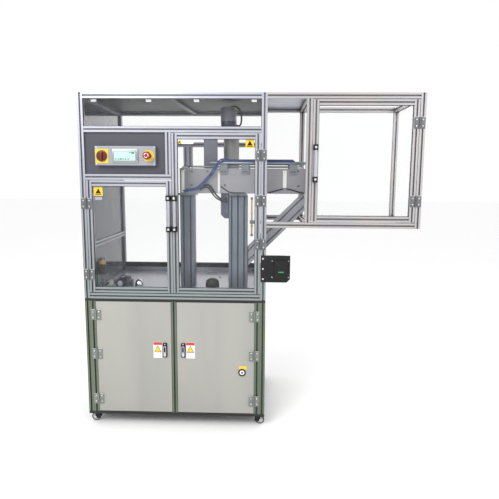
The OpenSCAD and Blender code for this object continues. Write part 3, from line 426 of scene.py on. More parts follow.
class Piece:
    """One object made of many small shapes, in cell millimetres, that rides on one body."""

    def __init__(self, name, body, looks, slot=None):
        self.name = name
        self.body = body
        self.looks = looks if isinstance(looks, (list, tuple)) else [looks]
        self.slot = slot
        self.mesh = bmesh.new()

    def _take(self, part, look):
        for face in part.faces:
            face.material_index = look
        shape = bpy.data.meshes.new("part")
        part.to_mesh(shape)
        part.free()
        self.mesh.from_mesh(shape)
        bpy.data.meshes.remove(shape)

    def box(self, low, high, look=0, edge=0.0, turn=None):
        """Block between two corners with rounded edges; turn is (angle, axis) about its middle."""
        part = bmesh.new()
        bmesh.ops.create_cube(part, size=1)
        low_point, high_point = at(*low), at(*high)
        size = high_point - low_point
        bmesh.ops.scale(part, vec=size, verts=part.verts)
        if edge:
            bmesh.ops.bevel(part, geom=part.edges[:], offset=edge * MM, segments=3, profile=0.5,
                            affect="EDGES", clamp_overlap=True)
        if turn:
            angle, axis = turn
            bmesh.ops.rotate(part, cent=(0, 0, 0), matrix=Matrix.Rotation(math.radians(angle), 3, axis),
                             verts=part.verts)
        bmesh.ops.translate(part, vec=(low_point + high_point) / 2, verts=part.verts)
        self._take(part, look)

    def lathe(self, origin, axis, outline, look=0, sides=40):
        """Turned shape: outline holds (radius, distance along axis) pairs, first and last on the axis."""
        part = bmesh.new()
        turn = Vector((0, 0, 1)).rotation_difference(Vector(axis)).to_matrix()
        start = at(*origin)
        rings = []
        for radius, along in outline:
            count = 1 if radius == 0 else sides
            rings.append([part.verts.new(start + turn @ Vector((
                radius * MM * math.cos(math.tau * k / sides), radius * MM * math.sin(math.tau * k / sides),
                along * MM))) for k in range(count)])
        for lower, upper in zip(rings, rings[1:]):
            for k in range(sides):
                corners = [lower[k % len(lower)], lower[(k + 1) % len(lower)],
                           upper[(k + 1) % len(upper)], upper[k % len(upper)]]
                unique = list(dict.fromkeys(corners))
                if len(unique) > 2:
                    part.faces.new(unique)
        self._take(part, look)

    def rod(self, start, axis, radius, length, look=0, edge=0.3, sides=28):
        """Round bar with chamfered ends."""
        self.lathe(start, axis, [(0, 0), (radius - edge, 0), (radius, edge), (radius, length - edge),
                                 (radius - edge, length), (0, length)], look, sides)

    def screw(self, x, y, z, look=0, radius=4.3, axis=(0, -1, 0), height=2.4):
        """Button-head screw with a hexagonal socket, seen along axis."""
        socket = radius * 0.45
        self.lathe((x, y, z), axis, [(0, 0), (radius, 0), (radius, height * 0.35),
                                     (radius * 0.8, height * 0.8), (radius * 0.55, height),
                                     (socket, height)], look, 24)
        part = bmesh.new()
        turn = Vector((0, 0, 1)).rotation_difference(Vector(axis)).to_matrix()
        start = at(x, y, z)
        rim = []
        floor = []
        for k in range(24):
            angle = math.tau * k / 24
            flat = socket * 0.9 / max(math.cos((angle % (math.pi / 3)) - math.pi / 6), 0.8)
            for ring, reach, level in ((rim, socket, height), (floor, flat, height * 0.35)):
                ring.append(part.verts.new(start + turn @ Vector((
                    reach * MM * math.cos(angle), reach * MM * math.sin(angle), level * MM))))
        for k in range(24):
            part.faces.new((rim[k], rim[(k + 1) % 24], floor[(k + 1) % 24], floor[k]))
        part.faces.new(floor)
        self._take(part, look)

    def plate(self, outline, y_front, y_back, look=0, edge=0.0):
        """Upright plate whose outline is (x, z) pairs."""
        part = bmesh.new()
        face = part.faces.new([part.verts.new(at(x, y_back, z)) for x, z in outline])
        out = bmesh.ops.extrude_face_region(part, geom=[face])
        moved = [v for v in out["geom"] if isinstance(v, bmesh.types.BMVert)]
        bmesh.ops.translate(part, vec=(0, (y_front - y_back) * MM, 0), verts=moved)
        bmesh.ops.recalc_face_normals(part, faces=part.faces)
        if edge:
            rim = [e for e in part.edges if all(abs(v.co.y - at(0, y_front, 0).y) < 1e-6 for v in e.verts)]
            bmesh.ops.bevel(part, geom=rim, offset=edge * MM, segments=2, profile=0.5, affect="EDGES")
        self._take(part, look)

    def tube(self, route, radius, look=0, sides=14, steps=6):
        """Round cable along a smooth curve through the route's points."""
        points = smooth_route([at(*p) for p in route], steps)
        part = bmesh.new()
        rings = []
        side = Vector((0, 0, 1))
        for i, point in enumerate(points):
            heading = (points[min(i + 1, len(points) - 1)] - points[max(i - 1, 0)]).normalized()
            side = side - heading * side.dot(heading) if i else heading.orthogonal()
            side = side.normalized()
            other = heading.cross(side)
            rings.append([part.verts.new(point + radius * MM * (
                math.cos(math.tau * k / sides) * side + math.sin(math.tau * k / sides) * other))
                for k in range(sides)])
        for lower, upper in zip(rings, rings[1:]):
            for k in range(sides):
                part.faces.new((lower[k], lower[(k + 1) % sides], upper[(k + 1) % sides], upper[k]))
        part.faces.new(rings[0][::-1])
        part.faces.new(rings[-1])
        self._take(part, look)

    def done(self, *replaced):
        bmesh.ops.recalc_face_normals(self.mesh, faces=self.mesh.faces)
        sharp = math.radians(38)
        for face in self.mesh.faces:
            face.smooth = True
        for edge in self.mesh.edges:
            edge.smooth = edge.calc_face_angle(0) < sharp
        data = bpy.data.meshes.new(self.name)
        self.mesh.to_mesh(data)
        self.mesh.free()
        for look in self.looks:
            data.materials.append(look)
        made = bpy.data.objects.new(self.name, data)
        bpy.context.scene.collection.objects.link(made)
        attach(made, self.body)
        if replaced:
            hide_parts(*replaced)


def smooth_route(points, steps):
    """Catmull-Rom curve through the points."""
    curve = []
    for i in range(len(points) - 1):
        a, b = points[max(i - 1, 0)], points[i]
        c, d = points[i + 1], points[min(i + 2, len(points) - 1)]
        for k in range(steps):
            s = k / steps
            curve.append(0.5 * (2 * b + (c - a) * s + (2 * a - 5 * b + 4 * c - d) * s * s
                                + (3 * b - a - 3 * c + d) * s ** 3))
    return curve + [points[-1]]


def rounded(x0, x1, z0, z1, radius, steps=5):
    """Outline of a rectangle with round corners, as (x, z) pairs."""
    corners = [(x1 - radius, z1 - radius, 0), (x0 + radius, z1 - radius, 90),
               (x0 + radius, z0 + radius, 180), (x1 - radius, z0 + radius, 270)]
    return [(cx + radius * math.cos(math.radians(start + 90 * k / steps)),
             cz + radius * math.sin(math.radians(start + 90 * k / steps)))
            for cx, cz, start in corners for k in range(steps + 1)]


# ---------- hinges, handles and doors ----------

HINGE_Y = -5
HINGE_H = 60
LEFT_PIN, RIGHT_PIN, BAY_PIN = 31, 969, 1784
CABINET_PINS = (60, 940)
LEFT_HINGES = (1227, 839)
RIGHT_HINGES = (1486, 1248, 1015)
BAY_HINGES = (1655, 1251)
CABINET_HINGES = (122, 387, 613)


def add_leaf(piece, x, z, direction, moving, look=0, screw_and_highlight_look=1):
    """One hinge leaf with its knuckles, two screws and a bright steel strip along its top as a painted
    highlight; direction is the side of the pin it lies on.
    """
    near, far = 4.6, 28
    x0, x1 = sorted((x + direction * near, x + direction * far))
    piece.box((x0, HINGE_Y + 1.4, z), (x1, 0, z + HINGE_H), look, edge=1.2)
    third = HINGE_H / 3
    spans = [(z, z + third), (z + 2 * third, z + HINGE_H)]
    if moving:
        spans = [(z + third + 0.4, z + 2 * third - 0.4)]
    for low, high in spans:
        piece.rod((x, HINGE_Y, low), (0, 0, 1), 3.9, high - low, look, edge=0.5)
        b0, b1 = sorted((x + direction * 1.0, x + direction * (near + 2)))
        piece.box((b0, HINGE_Y + 1.6, low), (b1, -0.9, high), look, edge=0.4)
    # Painted highlight: a thin bright steel strip along the leaf's top edge.
    piece.box((x0, HINGE_Y + 1.0, z + HINGE_H - 1.8), (x1, -0.6, z + HINGE_H), screw_and_highlight_look, edge=0.5)
    for h in (14, HINGE_H - 14):
        piece.screw(x + direction * 16, HINGE_Y + 1.4, z + h, screw_and_highlight_look)


def add_handle(piece, x, z, look_block, look_bar, look_screw):
    """Pull handle: black end blocks with a screw each and a round bar between them."""
    length, block = 196, 31
    for low in (z, z + length - block):
        piece.box((x - 13, -33.8, low), (x + 13, 0, low + block), look_block, edge=3.5)
        piece.screw(x, -33.8, low + block / 2, look_screw, radius=6, height=0.6)
    piece.rod((x, -23.5, z + block - 2), (0, 0, 1), 10.0, length - 2 * block + 4, look_bar, edge=0.4,
              sides=40)


def make_hinges():
    fixed = Piece("hinge_fixed_leaves", "root", [HINGE, SCREW_AND_HIGHLIGHT, HINGE_GREEN], "hinge_metal")
    for heights, pin, direction in ((LEFT_HINGES, LEFT_PIN, -1), (RIGHT_HINGES, RIGHT_PIN, 1),
                                    (BAY_HINGES, BAY_PIN, 1)):
        for z in heights:
            add_leaf(fixed, pin, z, direction, False)
    for pin, direction in zip(CABINET_PINS, (-1, 1)):
        for z in CABINET_HINGES:
            add_leaf(fixed, pin, z, direction, False, look=2)
    fixed.done("hinge_leaves")


def make_upper_door(name, body, heights, pin, direction, handle_x, handle_z, node):
    fittings = Piece(name, body, [HINGE, SCREW_AND_HIGHLIGHT], "hinge_metal")
    for z in heights:
        add_leaf(fittings, pin, z, direction, True)
    fittings.done(node)
    handle = Piece(name + "_handle", body, [BLACK, HANDLE_BAR, SCREW_AND_HIGHLIGHT], "handle_plastic")
    add_handle(handle, handle_x, handle_z, 0, 1, 2)
    handle.done()


def make_doors():
    make_upper_door("left_door_hinges", "left_door", LEFT_HINGES, LEFT_PIN, 1, 478, 1108,
                    "left_door_fittings")
    make_upper_door("right_door_hinges", "right_door", RIGHT_HINGES, RIGHT_PIN, -1, 510, 1108,
                    "right_door_fittings")
    make_upper_door("bay_door_hinges", "bay_door", BAY_HINGES, BAY_PIN, -1, 1252, 1377, "bay_door_fittings")


def add_gaskets(name, body, x0, x1, z0, z1, y=11.0):
    """Black glazing strips round a pane, just inside the door's frame."""
    strip = Piece(name, body, [CABLE], "handle_plastic")
    width, depth = 2.2, 3.0
    for low, high in (((x0, z0), (x1, z0 + width)), ((x0, z1 - width), (x1, z1)),
                      ((x0, z0 + width), (x0 + width, z1 - width)),
                      ((x1 - width, z0 + width), (x1, z1 - width))):
        strip.box((low[0], y - depth / 2, low[1]), (high[0], y + depth / 2, high[1]), 0, edge=0.5)
    strip.done()


# ---------- lower cabinet ----------

def make_cabinet_door(name, body, node, x0, x1, pin, direction):
    door = Piece(name, body, [SHEET, HINGE_GREEN, SCREW_AND_HIGHLIGHT], "cabinet_sheet")
    door.plate(rounded(x0, x1, 78, 718, 2.5), 0.4, 6.3, 0, edge=1.4)
    for z in CABINET_HINGES:
        add_leaf(door, pin, z, direction, True, look=1, screw_and_highlight_look=2)
    door.done(node)


def add_latch(name, body, x):
    case = Piece(name, body, [BLACK, SCREW_AND_HIGHLIGHT], "latch_plastic")
    case.plate(rounded(x - 12, x + 12, 404, 486, 5), -8, 0.4, 0, edge=1.6)
    for z in (410.5, 479.5):
        case.screw(x, -8, z, 1, radius=3.2, height=1.2)
    case.done()


def add_lever(name, body, node, x):
    lever = Piece(name, body, [HANDLE_BAR, BLACK, SCREW_AND_HIGHLIGHT], "latch_plastic")
    lever.plate(rounded(x - 8, x + 8, 411, 471.5, 6), -16, -9.6, 0, edge=1.8)
    lever.plate(rounded(x - 4.5, x + 4.5, 437, 467, 4), -16.6, -15.8, 1, edge=0.4)
    lever.lathe((x, -8.5, 422), (0, -1, 0), [(0, 0), (6.5, 0), (6.5, 8.6), (5.6, 9.4), (3.2, 9.4),
                                             (3.2, 8.4), (0, 8.4)], 2)
    lever.box((x - 0.8, -18.1, 419.5), (x + 0.8, -16.8, 424.5), 1, edge=0.2)
    lever.done(node)


def add_cabinet_label(name, body, x0, x1):
    """Blank notice: red strip, plain yellow triangle with a dark rim, two grey lines."""
    label = Piece(name, body, [WHITE, STRIP_RED, YELLOW, BLACK, GREY_PRINT])
    z0, z1 = 398, 490
    middle = (x0 + x1) / 2
    label.plate(rounded(x0, x1, z0, z1, 2), 0.05, 0.35, 0)
    label.plate(rounded(x0 + 1, x1 - 1, 473, z1 - 1, 1), -0.15, 0.1, 1)
    for half, top, bottom, front, look in ((21, 469, 431, -0.1, 3), (16.5, 463.5, 434, -0.3, 2)):
        label.plate([(middle - half, bottom), (middle + half, bottom), (middle + 1.5, top),
                     (middle - 1.5, top)],
                    front, front + 0.2, look)
    for z in (421, 413):
        label.plate([(x0 + 6, z), (x1 - 6, z), (x1 - 6, z + 2.2), (x0 + 6, z + 2.2)], -0.1, 0.1, 4)
    label.done()


def make_port():
    """Key-lock service port with a short yellow tag above it."""
    x, z = 873, 321
    port = Piece("service_port", "cabinet_right", [BLACK, WHITE, HINGE, YELLOW], "latch_plastic")
    port.lathe((x, 0.4, z), (0, -1, 0), [(0, 0), (21, 0), (21, 4.0), (19.5, 5.8), (15.5, 6.3), (15.0, 3.2),
                                         (0, 3.2)], 0)
    port.lathe((x, -2.8, z), (0, -1, 0), [(0, 0), (13.8, 0), (13.2, 0.9), (0, 0.9)], 1)
    port.lathe((x, -3.6, z), (0, -1, 0), [(0, 0), (5.6, 0), (5.2, 1.6), (0, 1.8)], 0, 24)
    port.box((x - 1, -6.0, z - 4), (x + 1, -5.1, z + 4), 2, edge=0.2)
    port.plate(rounded(857, 899, 339, 357, 2), 0.05, 0.35, 3)
    port.done()


def make_cabinet():
    make_cabinet_door("cabinet_door_left_panel", "cabinet_left", "cabinet_door_left", 61, 477.5, 60, 1)
    make_cabinet_door("cabinet_door_right_panel", "cabinet_right", "cabinet_door_right", 510.5, 939, 940, -1)
    add_latch("latch_case_left", "cabinet_left", 443)
    add_latch("latch_case_right", "cabinet_right", 545)
    add_lever("lever_left", "latch_left", "latch_lever_left", 443)
    add_lever("lever_right", "latch_right", "latch_lever_right", 545)
    add_cabinet_label("notice_left", "cabinet_left", 377, 426)
    add_cabinet_label("notice_right", "cabinet_right", 560, 609)
    make_port()


# ---------- operator panel ----------

def make_operator_panel():
    front = -20
    box_trim = Piece("operator_box_trim", "root", [SCREW_AND_HIGHLIGHT], "box_aluminium")
    for x in (101, 407):
        for z in (1467, 1553):
            box_trim.screw(x, front, z, 0, radius=3.2, height=1.4)
    box_trim.done()

    x, z = 131, 1508
    knob = Piece("switch_knob", "main_switch", [DARK_RED, BLACK], "switch_red")
    knob.lathe((x, front - 2.3, z), (0, -1, 0), [(0, 0), (25, 0), (25, 3), (23.5, 5), (23.5, 8),
                                                 (22.0, 9.6), (0, 9.6)], 0, 48)
    outline = rounded(x - 6.5, x + 6.5, z - 22, z + 22, 5)
    knob.plate(outline, front - 24.3, front - 11, 0, edge=2)
    knob.plate(rounded(x - 1, x + 1, z + 9, z + 19, 0.8), front - 24.6, front - 24.1, 1)
    knob.done("main_switch_knob")
    tag = Piece("switch_plate_trim", "root", [BLACK, SCREW_AND_HIGHLIGHT, DARK_RED], "legend_yellow")
    tag.lathe((x, front - 2.0, z), (0, -1, 0), [(26.0, 0), (30, 0), (30, 0.25), (26.0, 0.25), (26.0, 0)], 2,
              48)
    for dx in (-30, 30):
        for dz in (-33, 33):
            tag.screw(x + dx, front - 2, z + dz, 1, radius=2.4, height=1.0)
    tag.done()

    x, z = 377, 1510
    button = Piece("stop_button", "estop", [RED, WHITE, BLACK], "estop_red")
    button.lathe((x, -69.8, z), (0, 1, 0), [(0, 0), (9, 0.4), (14, 1.4), (18.5, 4.2), (20.8, 9), (20.8, 17),
                                            (19.5, 20.5), (15, 23), (10, 24.5), (9.5, 42.3), (0, 42.3)], 0,
                 56)
    for k in range(3):
        start = 90 + 120 * k
        arc = []
        for radius, sweep in ((12.2, range(0, 71, 10)), (9.0, range(70, -1, -10))):
            arc += [(x + radius * math.cos(math.radians(start + a)),
                     z + radius * math.sin(math.radians(start + a)))
                    for a in sweep]
        tip = math.radians(start + 92)
        arc[8:8] = [(x + 14.2 * math.cos(math.radians(start + 70)),
                     z + 14.2 * math.sin(math.radians(start + 70))),
                    (x + 10.6 * math.cos(tip), z + 10.6 * math.sin(tip)),
                    (x + 7.0 * math.cos(math.radians(start + 70)),
                     z + 7.0 * math.sin(math.radians(start + 70)))]
        button.plate(arc, -69.75, -67.4, 1)
    button.done("estop_button")
    collar = Piece("stop_collar", "root", [BLACK, YELLOW], "legend_yellow")
    collar.lathe((x, front - 2.0, z), (0, -1, 0), [(11, 0), (16.5, 0), (16.5, 9), (15, 11), (11, 11),
                                                   (11, 0)], 0, 48)
    collar.lathe((x, front - 1.9, z), (0, -1, 0), [(24.5, 0), (29.6, 0), (28.8, 1.2), (24.5, 1.2),
                                                   (24.5, 0)], 1, 56)
    collar.done()

    panel = Piece("touch_panel_unit", "root", [BEZEL, SCREEN, SCREEN_MARK, BLACK, BOX], "panel_plastic")
    outer = rounded(186, 324, 1471, 1545, 5)
    inner_x = (197, 309)
    inner_z = (1485, 1532)
    panel.plate(outer, front - 5.2, front, 4, edge=1.2)
    panel.plate(rounded(inner_x[0] - 4, inner_x[1] + 4, inner_z[0] - 4, inner_z[1] + 4, 3), front - 6.0,
                front - 5, 0, edge=0.4)
    panel.plate(rounded(*inner_x, *inner_z, 1.5), front - 6.3, front - 5.8, 1)
    mark_y = front - 6.5
    for x0, x1, z0, z1 in ((276, 286, 1523, 1527), (289, 305, 1520, 1529), (201, 211, 1490, 1495),
                           (215, 223, 1490, 1495), (226, 238, 1489, 1496), (241, 249, 1490, 1495),
                           (253, 262, 1490, 1495), (267, 277, 1490, 1495)):
        panel.plate(rounded(x0, x1, z0, z1, 1), mark_y, mark_y + 0.3, 2)
    for k in range(4):
        panel.box((317, front - 5.8, 1489 + 11 * k), (320.5, front - 5, 1494 + 11 * k), 3, edge=0.4)
    panel.done("touch_panel")


# ---------- conveyor ----------

def make_conveyor_details():
    trim = Piece("conveyor_screws", "root", [DARK_SCREW], "conveyor_aluminium")
    cover_y = 145.8
    for x, z in ((766, 1437), (766, 1358), (1174, 1437), (1176, 1355)):
        trim.screw(x, cover_y, z, 0, radius=4.6)
    for x, z in ((581, 1433), (668, 1434), (579, 1357)):
        trim.screw(x, 150, z, 0, radius=4.6)
    for x in (760, 880, 1146):
        for dx in (-9, 9):
            trim.screw(x + dx, 136, 1432, 0, radius=3.6)
    trim.done()

    straps = Piece("cable_straps", "root", [STRAP, SCREW_AND_HIGHLIGHT], "conveyor_aluminium")
    for x, y, low, high, width in ((530, 150, 1318, 1440, 17), (735, 150, 1316, 1440, 17),
                                   (1100, 145.8, 1334, 1440, 20)):
        straps.plate(rounded(x - width / 2, x + width / 2, low, high, 3), y - 3.2, y - 0.2, 0, edge=1.0)
        for z in (high - 9, low + 9):
            straps.screw(x, y - 3.2, z, 1, radius=3.0, height=1.4)
    straps.done()

    cables = Piece("black_cables", "root", [CABLE], "cable_black")
    cables.tube([(1010, 140, 1318), (1030, 140, 1322), (1060, 140, 1331), (1085, 140, 1338),
                 (1103, 140, 1340),
                 (1122, 140, 1338), (1150, 140, 1331), (1180, 140, 1322), (1205, 140, 1318)], 3.2)
    cables.tube([(645, 141, 1356), (665, 139, 1360), (684, 138, 1352), (696, 140, 1335), (708, 143, 1316),
                 (722, 148, 1298), (738, 156, 1284), (747, 162, 1280)], 5.0)
    cables.tube([(625, 143, 1330), (650, 142, 1345), (672, 141, 1344), (688, 143, 1324), (702, 146, 1302),
                 (720, 152, 1284), (740, 160, 1272), (748, 164, 1270)], 4.2)
    cables.tube([(742, 140, 1352), (754, 139, 1344), (768, 139, 1334), (782, 139, 1324), (796, 140, 1318),
                 (830, 140, 1316), (880, 140, 1316)], 2.6)
    cables.done()

    motor = Piece("motor_cap", "root", [MOTOR, SCREW_AND_HIGHLIGHT, CABLE], "motor_paint")
    for dx in (-15, 15):
        for dz in (1212, 1296):
            motor.screw(762 + dx, 168, dz, 1, radius=3.0)
    motor.box((746, 156, 1262), (776, 168, 1290), 2, edge=2.5)
    motor.done()

    loom = Piece("blue_cables", "root", [BLUE, CABLE], "cable_blue")
    run = [(536, 132, 1322), (548, 130, 1326), (562, 128, 1331), (585, 128, 1332), (620, 127, 1344),
           (655, 124, 1378), (690, 119, 1416), (712, 117, 1448), (728, 116, 1474), (742, 118, 1490),
           (756, 123, 1497), (775, 130, 1496), (800, 134, 1493), (900, 134, 1493), (1020, 134, 1493),
           (1150, 134, 1493)]
    for dx, dy, dz in ((-3.4, -1, 3.2), (3.4, 4, -3.4)):
        loom.tube([(x + dx, y + dy, z + dz) for x, y, z in run], 4.3, 0, steps=5)
    for x, y, z in ((690, 123, 1416), (620, 131, 1344)):
        loom.box((x - 5, y - 8.6, z - 4.6), (x + 5, y + 8.6, z + 4.6), 1, edge=2.2, turn=(-35, "Y"))
    loom.done("cable_loom")


# ---------- robot ----------

def make_robot():
    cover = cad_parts["outer_arm_cover"]
    cover.data.materials.clear()
    cover.data.materials.append(COVER)
    x, y0 = 780, 320
    trim = Piece("arm_trim", "outer_arm", [NAVY, SCREW_AND_HIGHLIGHT, BLACK, COVER], "robot_dark")
    for angle in range(20, 170, 30):
        a = math.radians(angle)
        trim.screw(x + 37 * math.cos(a), y0 + 37 * math.sin(a), 1679.5, 1, radius=2.8, axis=(0, 0, -1),
                   height=1.8)
    for side in (-1, 1):
        for y in (235, 305):
            trim.screw(x + side * 43, y, 1722, 1, radius=3.0, axis=(side, 0, 0), height=1.0)
    trim.lathe((786, 300, 1789.4), (0, 0, 1), [(0, 0), (11, 0), (11, 2.5), (8, 5), (6.2, 8), (6.2, 11),
                                               (0, 11)], 2)
    trim.lathe((822, 300, 1696), (1, 0, 0), [(0, 0), (10, 0), (10, 2.5), (7, 6), (6.2, 9), (0, 9)], 2)
    trim.done()
    cable = Piece("arm_cable_arc", "outer_arm", [CABLE], "cable_black")
    cable.tube([(786, 300, 1790), (787, 300, 1799), (797, 300, 1807), (812, 300, 1808), (828, 300, 1801),
                (841, 300, 1787), (848, 300, 1767), (850, 300, 1743), (849, 300, 1721), (845, 300, 1706),
                (836, 300, 1698), (823, 300, 1696)], 5.0, steps=5)
    cable.done("arm_cable")
    base_trim = Piece("robot_base_trim", "root", [SCREW_AND_HIGHLIGHT], "robot_casting")
    for dx in (-42, 42):
        for dy in (-42, 88):
            base_trim.screw(x + dx, 445 + dy, 1337.3, 0, radius=5.5, axis=(0, 0, 1), height=5)
    base_trim.done()


# ---------- deck ----------

def make_deck_pieces():
    """Air regulator with its gauge, terminal box, chrome dome, brass rod and the two turning knobs."""
    look = [REGULATOR, BLACK, SCREW_AND_HIGHLIGHT, BRASS, DIAL_FACE_AND_HIGHLIGHT, COPPER, CHROME, HINGE, GAUGE]
    body, black, screw, brass, face, copper, chrome, casting, gauge = range(9)
    small = Piece("deck_fittings", "root", look, "regulator_paint")
    small.box((136, 150, 763), (222, 200, 809), body, edge=3)
    small.lathe((179, 200, 809), (0, -1, 0), [(0, 0), (28, 0), (31, 3), (31, 44), (27, 49), (0, 50)], body,
                48)
    small.lathe((179, 151, 815), (0, -1, 0), [(0, 0), (20, 0), (17, 1.6), (0, 2.2)], black, 40)
    # Painted highlight: a thin tilted lavender strip on the regulator's cap.
    small.box((160, 148.6, 826), (186, 150.6, 831), face, edge=0.8, turn=(-16, "Y"))
    small.box((92, 152, 784), (137, 190, 804), body, edge=2.5)
    for x in (144, 214):
        small.screw(x, 150, 770, screw, radius=3.6)
    small.lathe((103, 152, 794), (0, -1, 0), [(0, 0), (16, 0), (16, 11), (14.6, 13.6), (11.5, 13.8),
                                              (11.5, 12), (0, 12)], gauge)
    small.box((102.4, 139, 794), (103.6, 140, 803), black, edge=0.2, turn=(35, "Y"))
    small.tube([(48, 96, 766), (60, 100, 770), (74, 112, 780), (86, 132, 790), (93, 152, 795),
                (96, 166, 796)], 6, black, sides=12)
    small.box((57, 66, 858), (100, 96, 912), black, edge=2)
    small.box((72, 74, 763), (84, 86, 859), casting, edge=1)
    for k, x in enumerate((65, 75, 85, 94)):
        shade = (copper, brass, brass, copper)[k]
        small.box((x - 3.8, 72, 912), (x + 3.8, 90, 930 + 3 * k), shade, edge=1)
        small.tube([(x, 80, 930), (x - 1, 79, 941 + k), (x - 9, 80, 948 + k), (x - 18 - 2 * k, 84, 938),
                    (48 - 2 * k, 90, 900), (44, 92, 840), (43, 94, 780), (48, 96, 766)], 1.6, black, sides=8)
        small.screw(x - 2, 66, 903, casting, radius=2.4)
    small.lathe((253, 210, 763), (0, 0, 1), [(0, 0), (27, 0), (27, 5), (25.6, 6.5), (25, 15), (21, 26),
                                             (15, 34), (7, 40), (0, 42)], chrome, 56)
    small.rod((917, 175, 1070), (0, 0, 1), 4.5, 220, brass, edge=0.6)
    for low, high, radius in ((1070, 1082, 7), (1120, 1132, 6.5), (1196, 1204, 6), (1278, 1290, 7)):
        small.rod((917, 175, low), (0, 0, 1), radius, high - low, casting if radius == 7 else brass, edge=1)
    small.box((906, 166, 1140), (969.8, 184, 1160), casting, edge=1.2)
    small.done("small_fittings")

    x, z = 162, 792
    dial = Piece("regulator_dial_knob", "regulator_dial", [BLACK, DIAL_FACE_AND_HIGHLIGHT, WHITE], "knob_black")
    dial.lathe((x, 149.6, z), (0, -1, 0), [(0, 0), (24, 0), (26, 2), (26, 17), (24, 20), (17.5, 21.5),
                                           (16.5, 20), (0, 20)], 0, 56)
    dial.lathe((x, 129.4, z), (0, -1, 0), [(0, 0), (16.2, 0), (15, 2.6), (8, 3.6), (0, 3.6)], 1, 40)
    for k in range(24):
        a = math.tau * k / 24
        dial.rod((x + 25.4 * math.cos(a), 147, z + 25.4 * math.sin(a)), (0, -1, 0), 1.0, 16, 0, edge=0.3,
                 sides=8)
    dial.box((x - 1, 125.6, z + 4), (x + 1, 126.4, z + 14), 2, edge=0.2)
    dial.done("regulator_knob")

    x, y = 698, 105
    knob = Piece("clamp_knob_dome", "clamp_knob", [BLACK, SCREW_AND_HIGHLIGHT, HINGE], "knob_black")
    knob.lathe((x, y, 782), (0, 0, 1), [(0, 0), (36, 0), (38, 2), (38, 24), (36.6, 34), (33, 41), (27, 47),
                                        (18, 52),
                                        (8, 54.6), (0, 55)], 0, 72)
    for k in range(36):
        a = math.tau * k / 36
        knob.rod((x + 37.3 * math.cos(a), y + 37.3 * math.sin(a), 785), (0, 0, 1), 1.5, 22, 0, edge=0.5,
                 sides=10)
    knob.rod((x, y, 763.5), (0, 0, 1), 10, 20, 1, edge=1)
    knob.box((x - 1.2, y - 34, 818), (x + 1.2, y - 22, 826), 2, edge=0.4, turn=(-38, "X"))
    knob.done("deck_knob")

    marks = Piece("deck_trim", "root", [SCREW_AND_HIGHLIGHT, BLACK, HINGE, GREEN], "deck_metal")
    for x, y in ((611, 651), (668, 655), (552, 700)):
        marks.screw(x, y, 763, 0, radius=7, axis=(0, 0, 1), height=5)
    marks.lathe((640, 620, 763), (0, 0, 1), [(30, 0), (36, 0), (36, 2), (30, 2), (30, 0)], 2, 48)
    marks.rod((706, 491, 763), (0, 0, 1), 9, 3, 1, edge=1)
    for x in (60, 300, 480, 640, 760, 930):
        marks.screw(x, 45, 763, 0, radius=4.5, axis=(0, 0, 1))
        marks.screw(x, 690, 763, 0, radius=4.5, axis=(0, 0, 1))
    marks.tube([(40, 60, 768), (52, 70, 786), (60, 66, 800), (66, 70, 830), (64, 76, 856)], 2.4, 3, sides=10)
    marks.done()


# ---------- display bracket ----------

def make_display():
    plate = Piece("display_bracket_unit", "root", [BRACKET, SCREW_AND_HIGHLIGHT, BLACK, SCREEN_MARK, GREEN],
                  "bracket_black")
    plate.plate([(972, 837), (1113, 837), (1131, 855), (1131, 985), (972, 985)], -3, 0, 0, edge=0.8)
    plate.box((1004, 0.2, 863), (1105, 60, 977), 0, edge=2)
    plate.plate(rounded(1046, 1116, 859, 961, 3), -14, -3.1, 0, edge=1.5)
    for z in (855, 911, 967):
        plate.screw(984, -3, z, 1, radius=5)
    for x in (1034, 1122):
        for z in (866, 955):
            plate.screw(x, -3, z, 1, radius=3.4)
    plate.plate(rounded(1064, 1098, 906, 936, 2), -14.7, -13.8, 2, edge=0.3)
    plate.plate(rounded(1066, 1096, 893, 899, 1), -14.4, -13.8, 4)
    plate.done("display_bracket")


# ---------- castors ----------

def make_castors():
    for tag, x, y, direction in (("fl", 45, 45, -1), ("fr", 955, 45, 1), ("rl", 45, 695, -1),
                                 ("rr", 955, 695, 1)):
        fork = Piece("castor_yoke_" + tag, "fork_" + tag, [BLACK, SCREW_AND_HIGHLIGHT, HINGE], "castor_metal")
        fork.lathe((x, y, 47.5), (0, 0, 1), [(0, 0), (19, 0), (20, 1.5), (20, 7), (17, 8.5), (0, 8.5)], 2)
        axle_x = x + direction * 20
        for low, high in ((-14, -11), (11, 14)):
            x0, x1 = sorted((x - direction * 10, axle_x + direction * 3))
            fork.box((x0, y + low, 17), (x1, y + high, 50), 0, edge=1.4)
        for side in (-1, 1):
            fork.lathe((axle_x, y + side * 14, 25), (0, side, 0), [(0, 0), (4.8, 0), (4.2, 2.2), (0, 2.4)],
                       1, 24)
        fork.done("castor_fork_" + tag)
        wheel = Piece("castor_tyre_" + tag, "wheel_" + tag, [RUBBER, HUB], "castor_wheel")
        wheel.lathe((axle_x, y - 10, 25), (0, 1, 0), [(17, 0.4), (21, 0), (23.6, 1.4), (25, 4.5),
                                                      (25, 15.5), (23.6, 18.6),
                                                     (21, 20), (17, 19.6), (17, 0.4)], 0, 56)
        wheel.lathe((axle_x, y - 9.4, 25), (0, 1, 0), [(0, 0), (5, 0), (6, 1.6), (12, 2.4), (15, 0.8),
                                                       (17.2, 0.6), (17.2, 18.2),
                                                      (15, 18), (12, 16.4), (6, 17.2), (5, 18.8),
                                                       (0, 18.8)], 1, 40)
        wheel.done("castor_wheel_" + tag)


# ---------- small pieces on the upper frame ----------

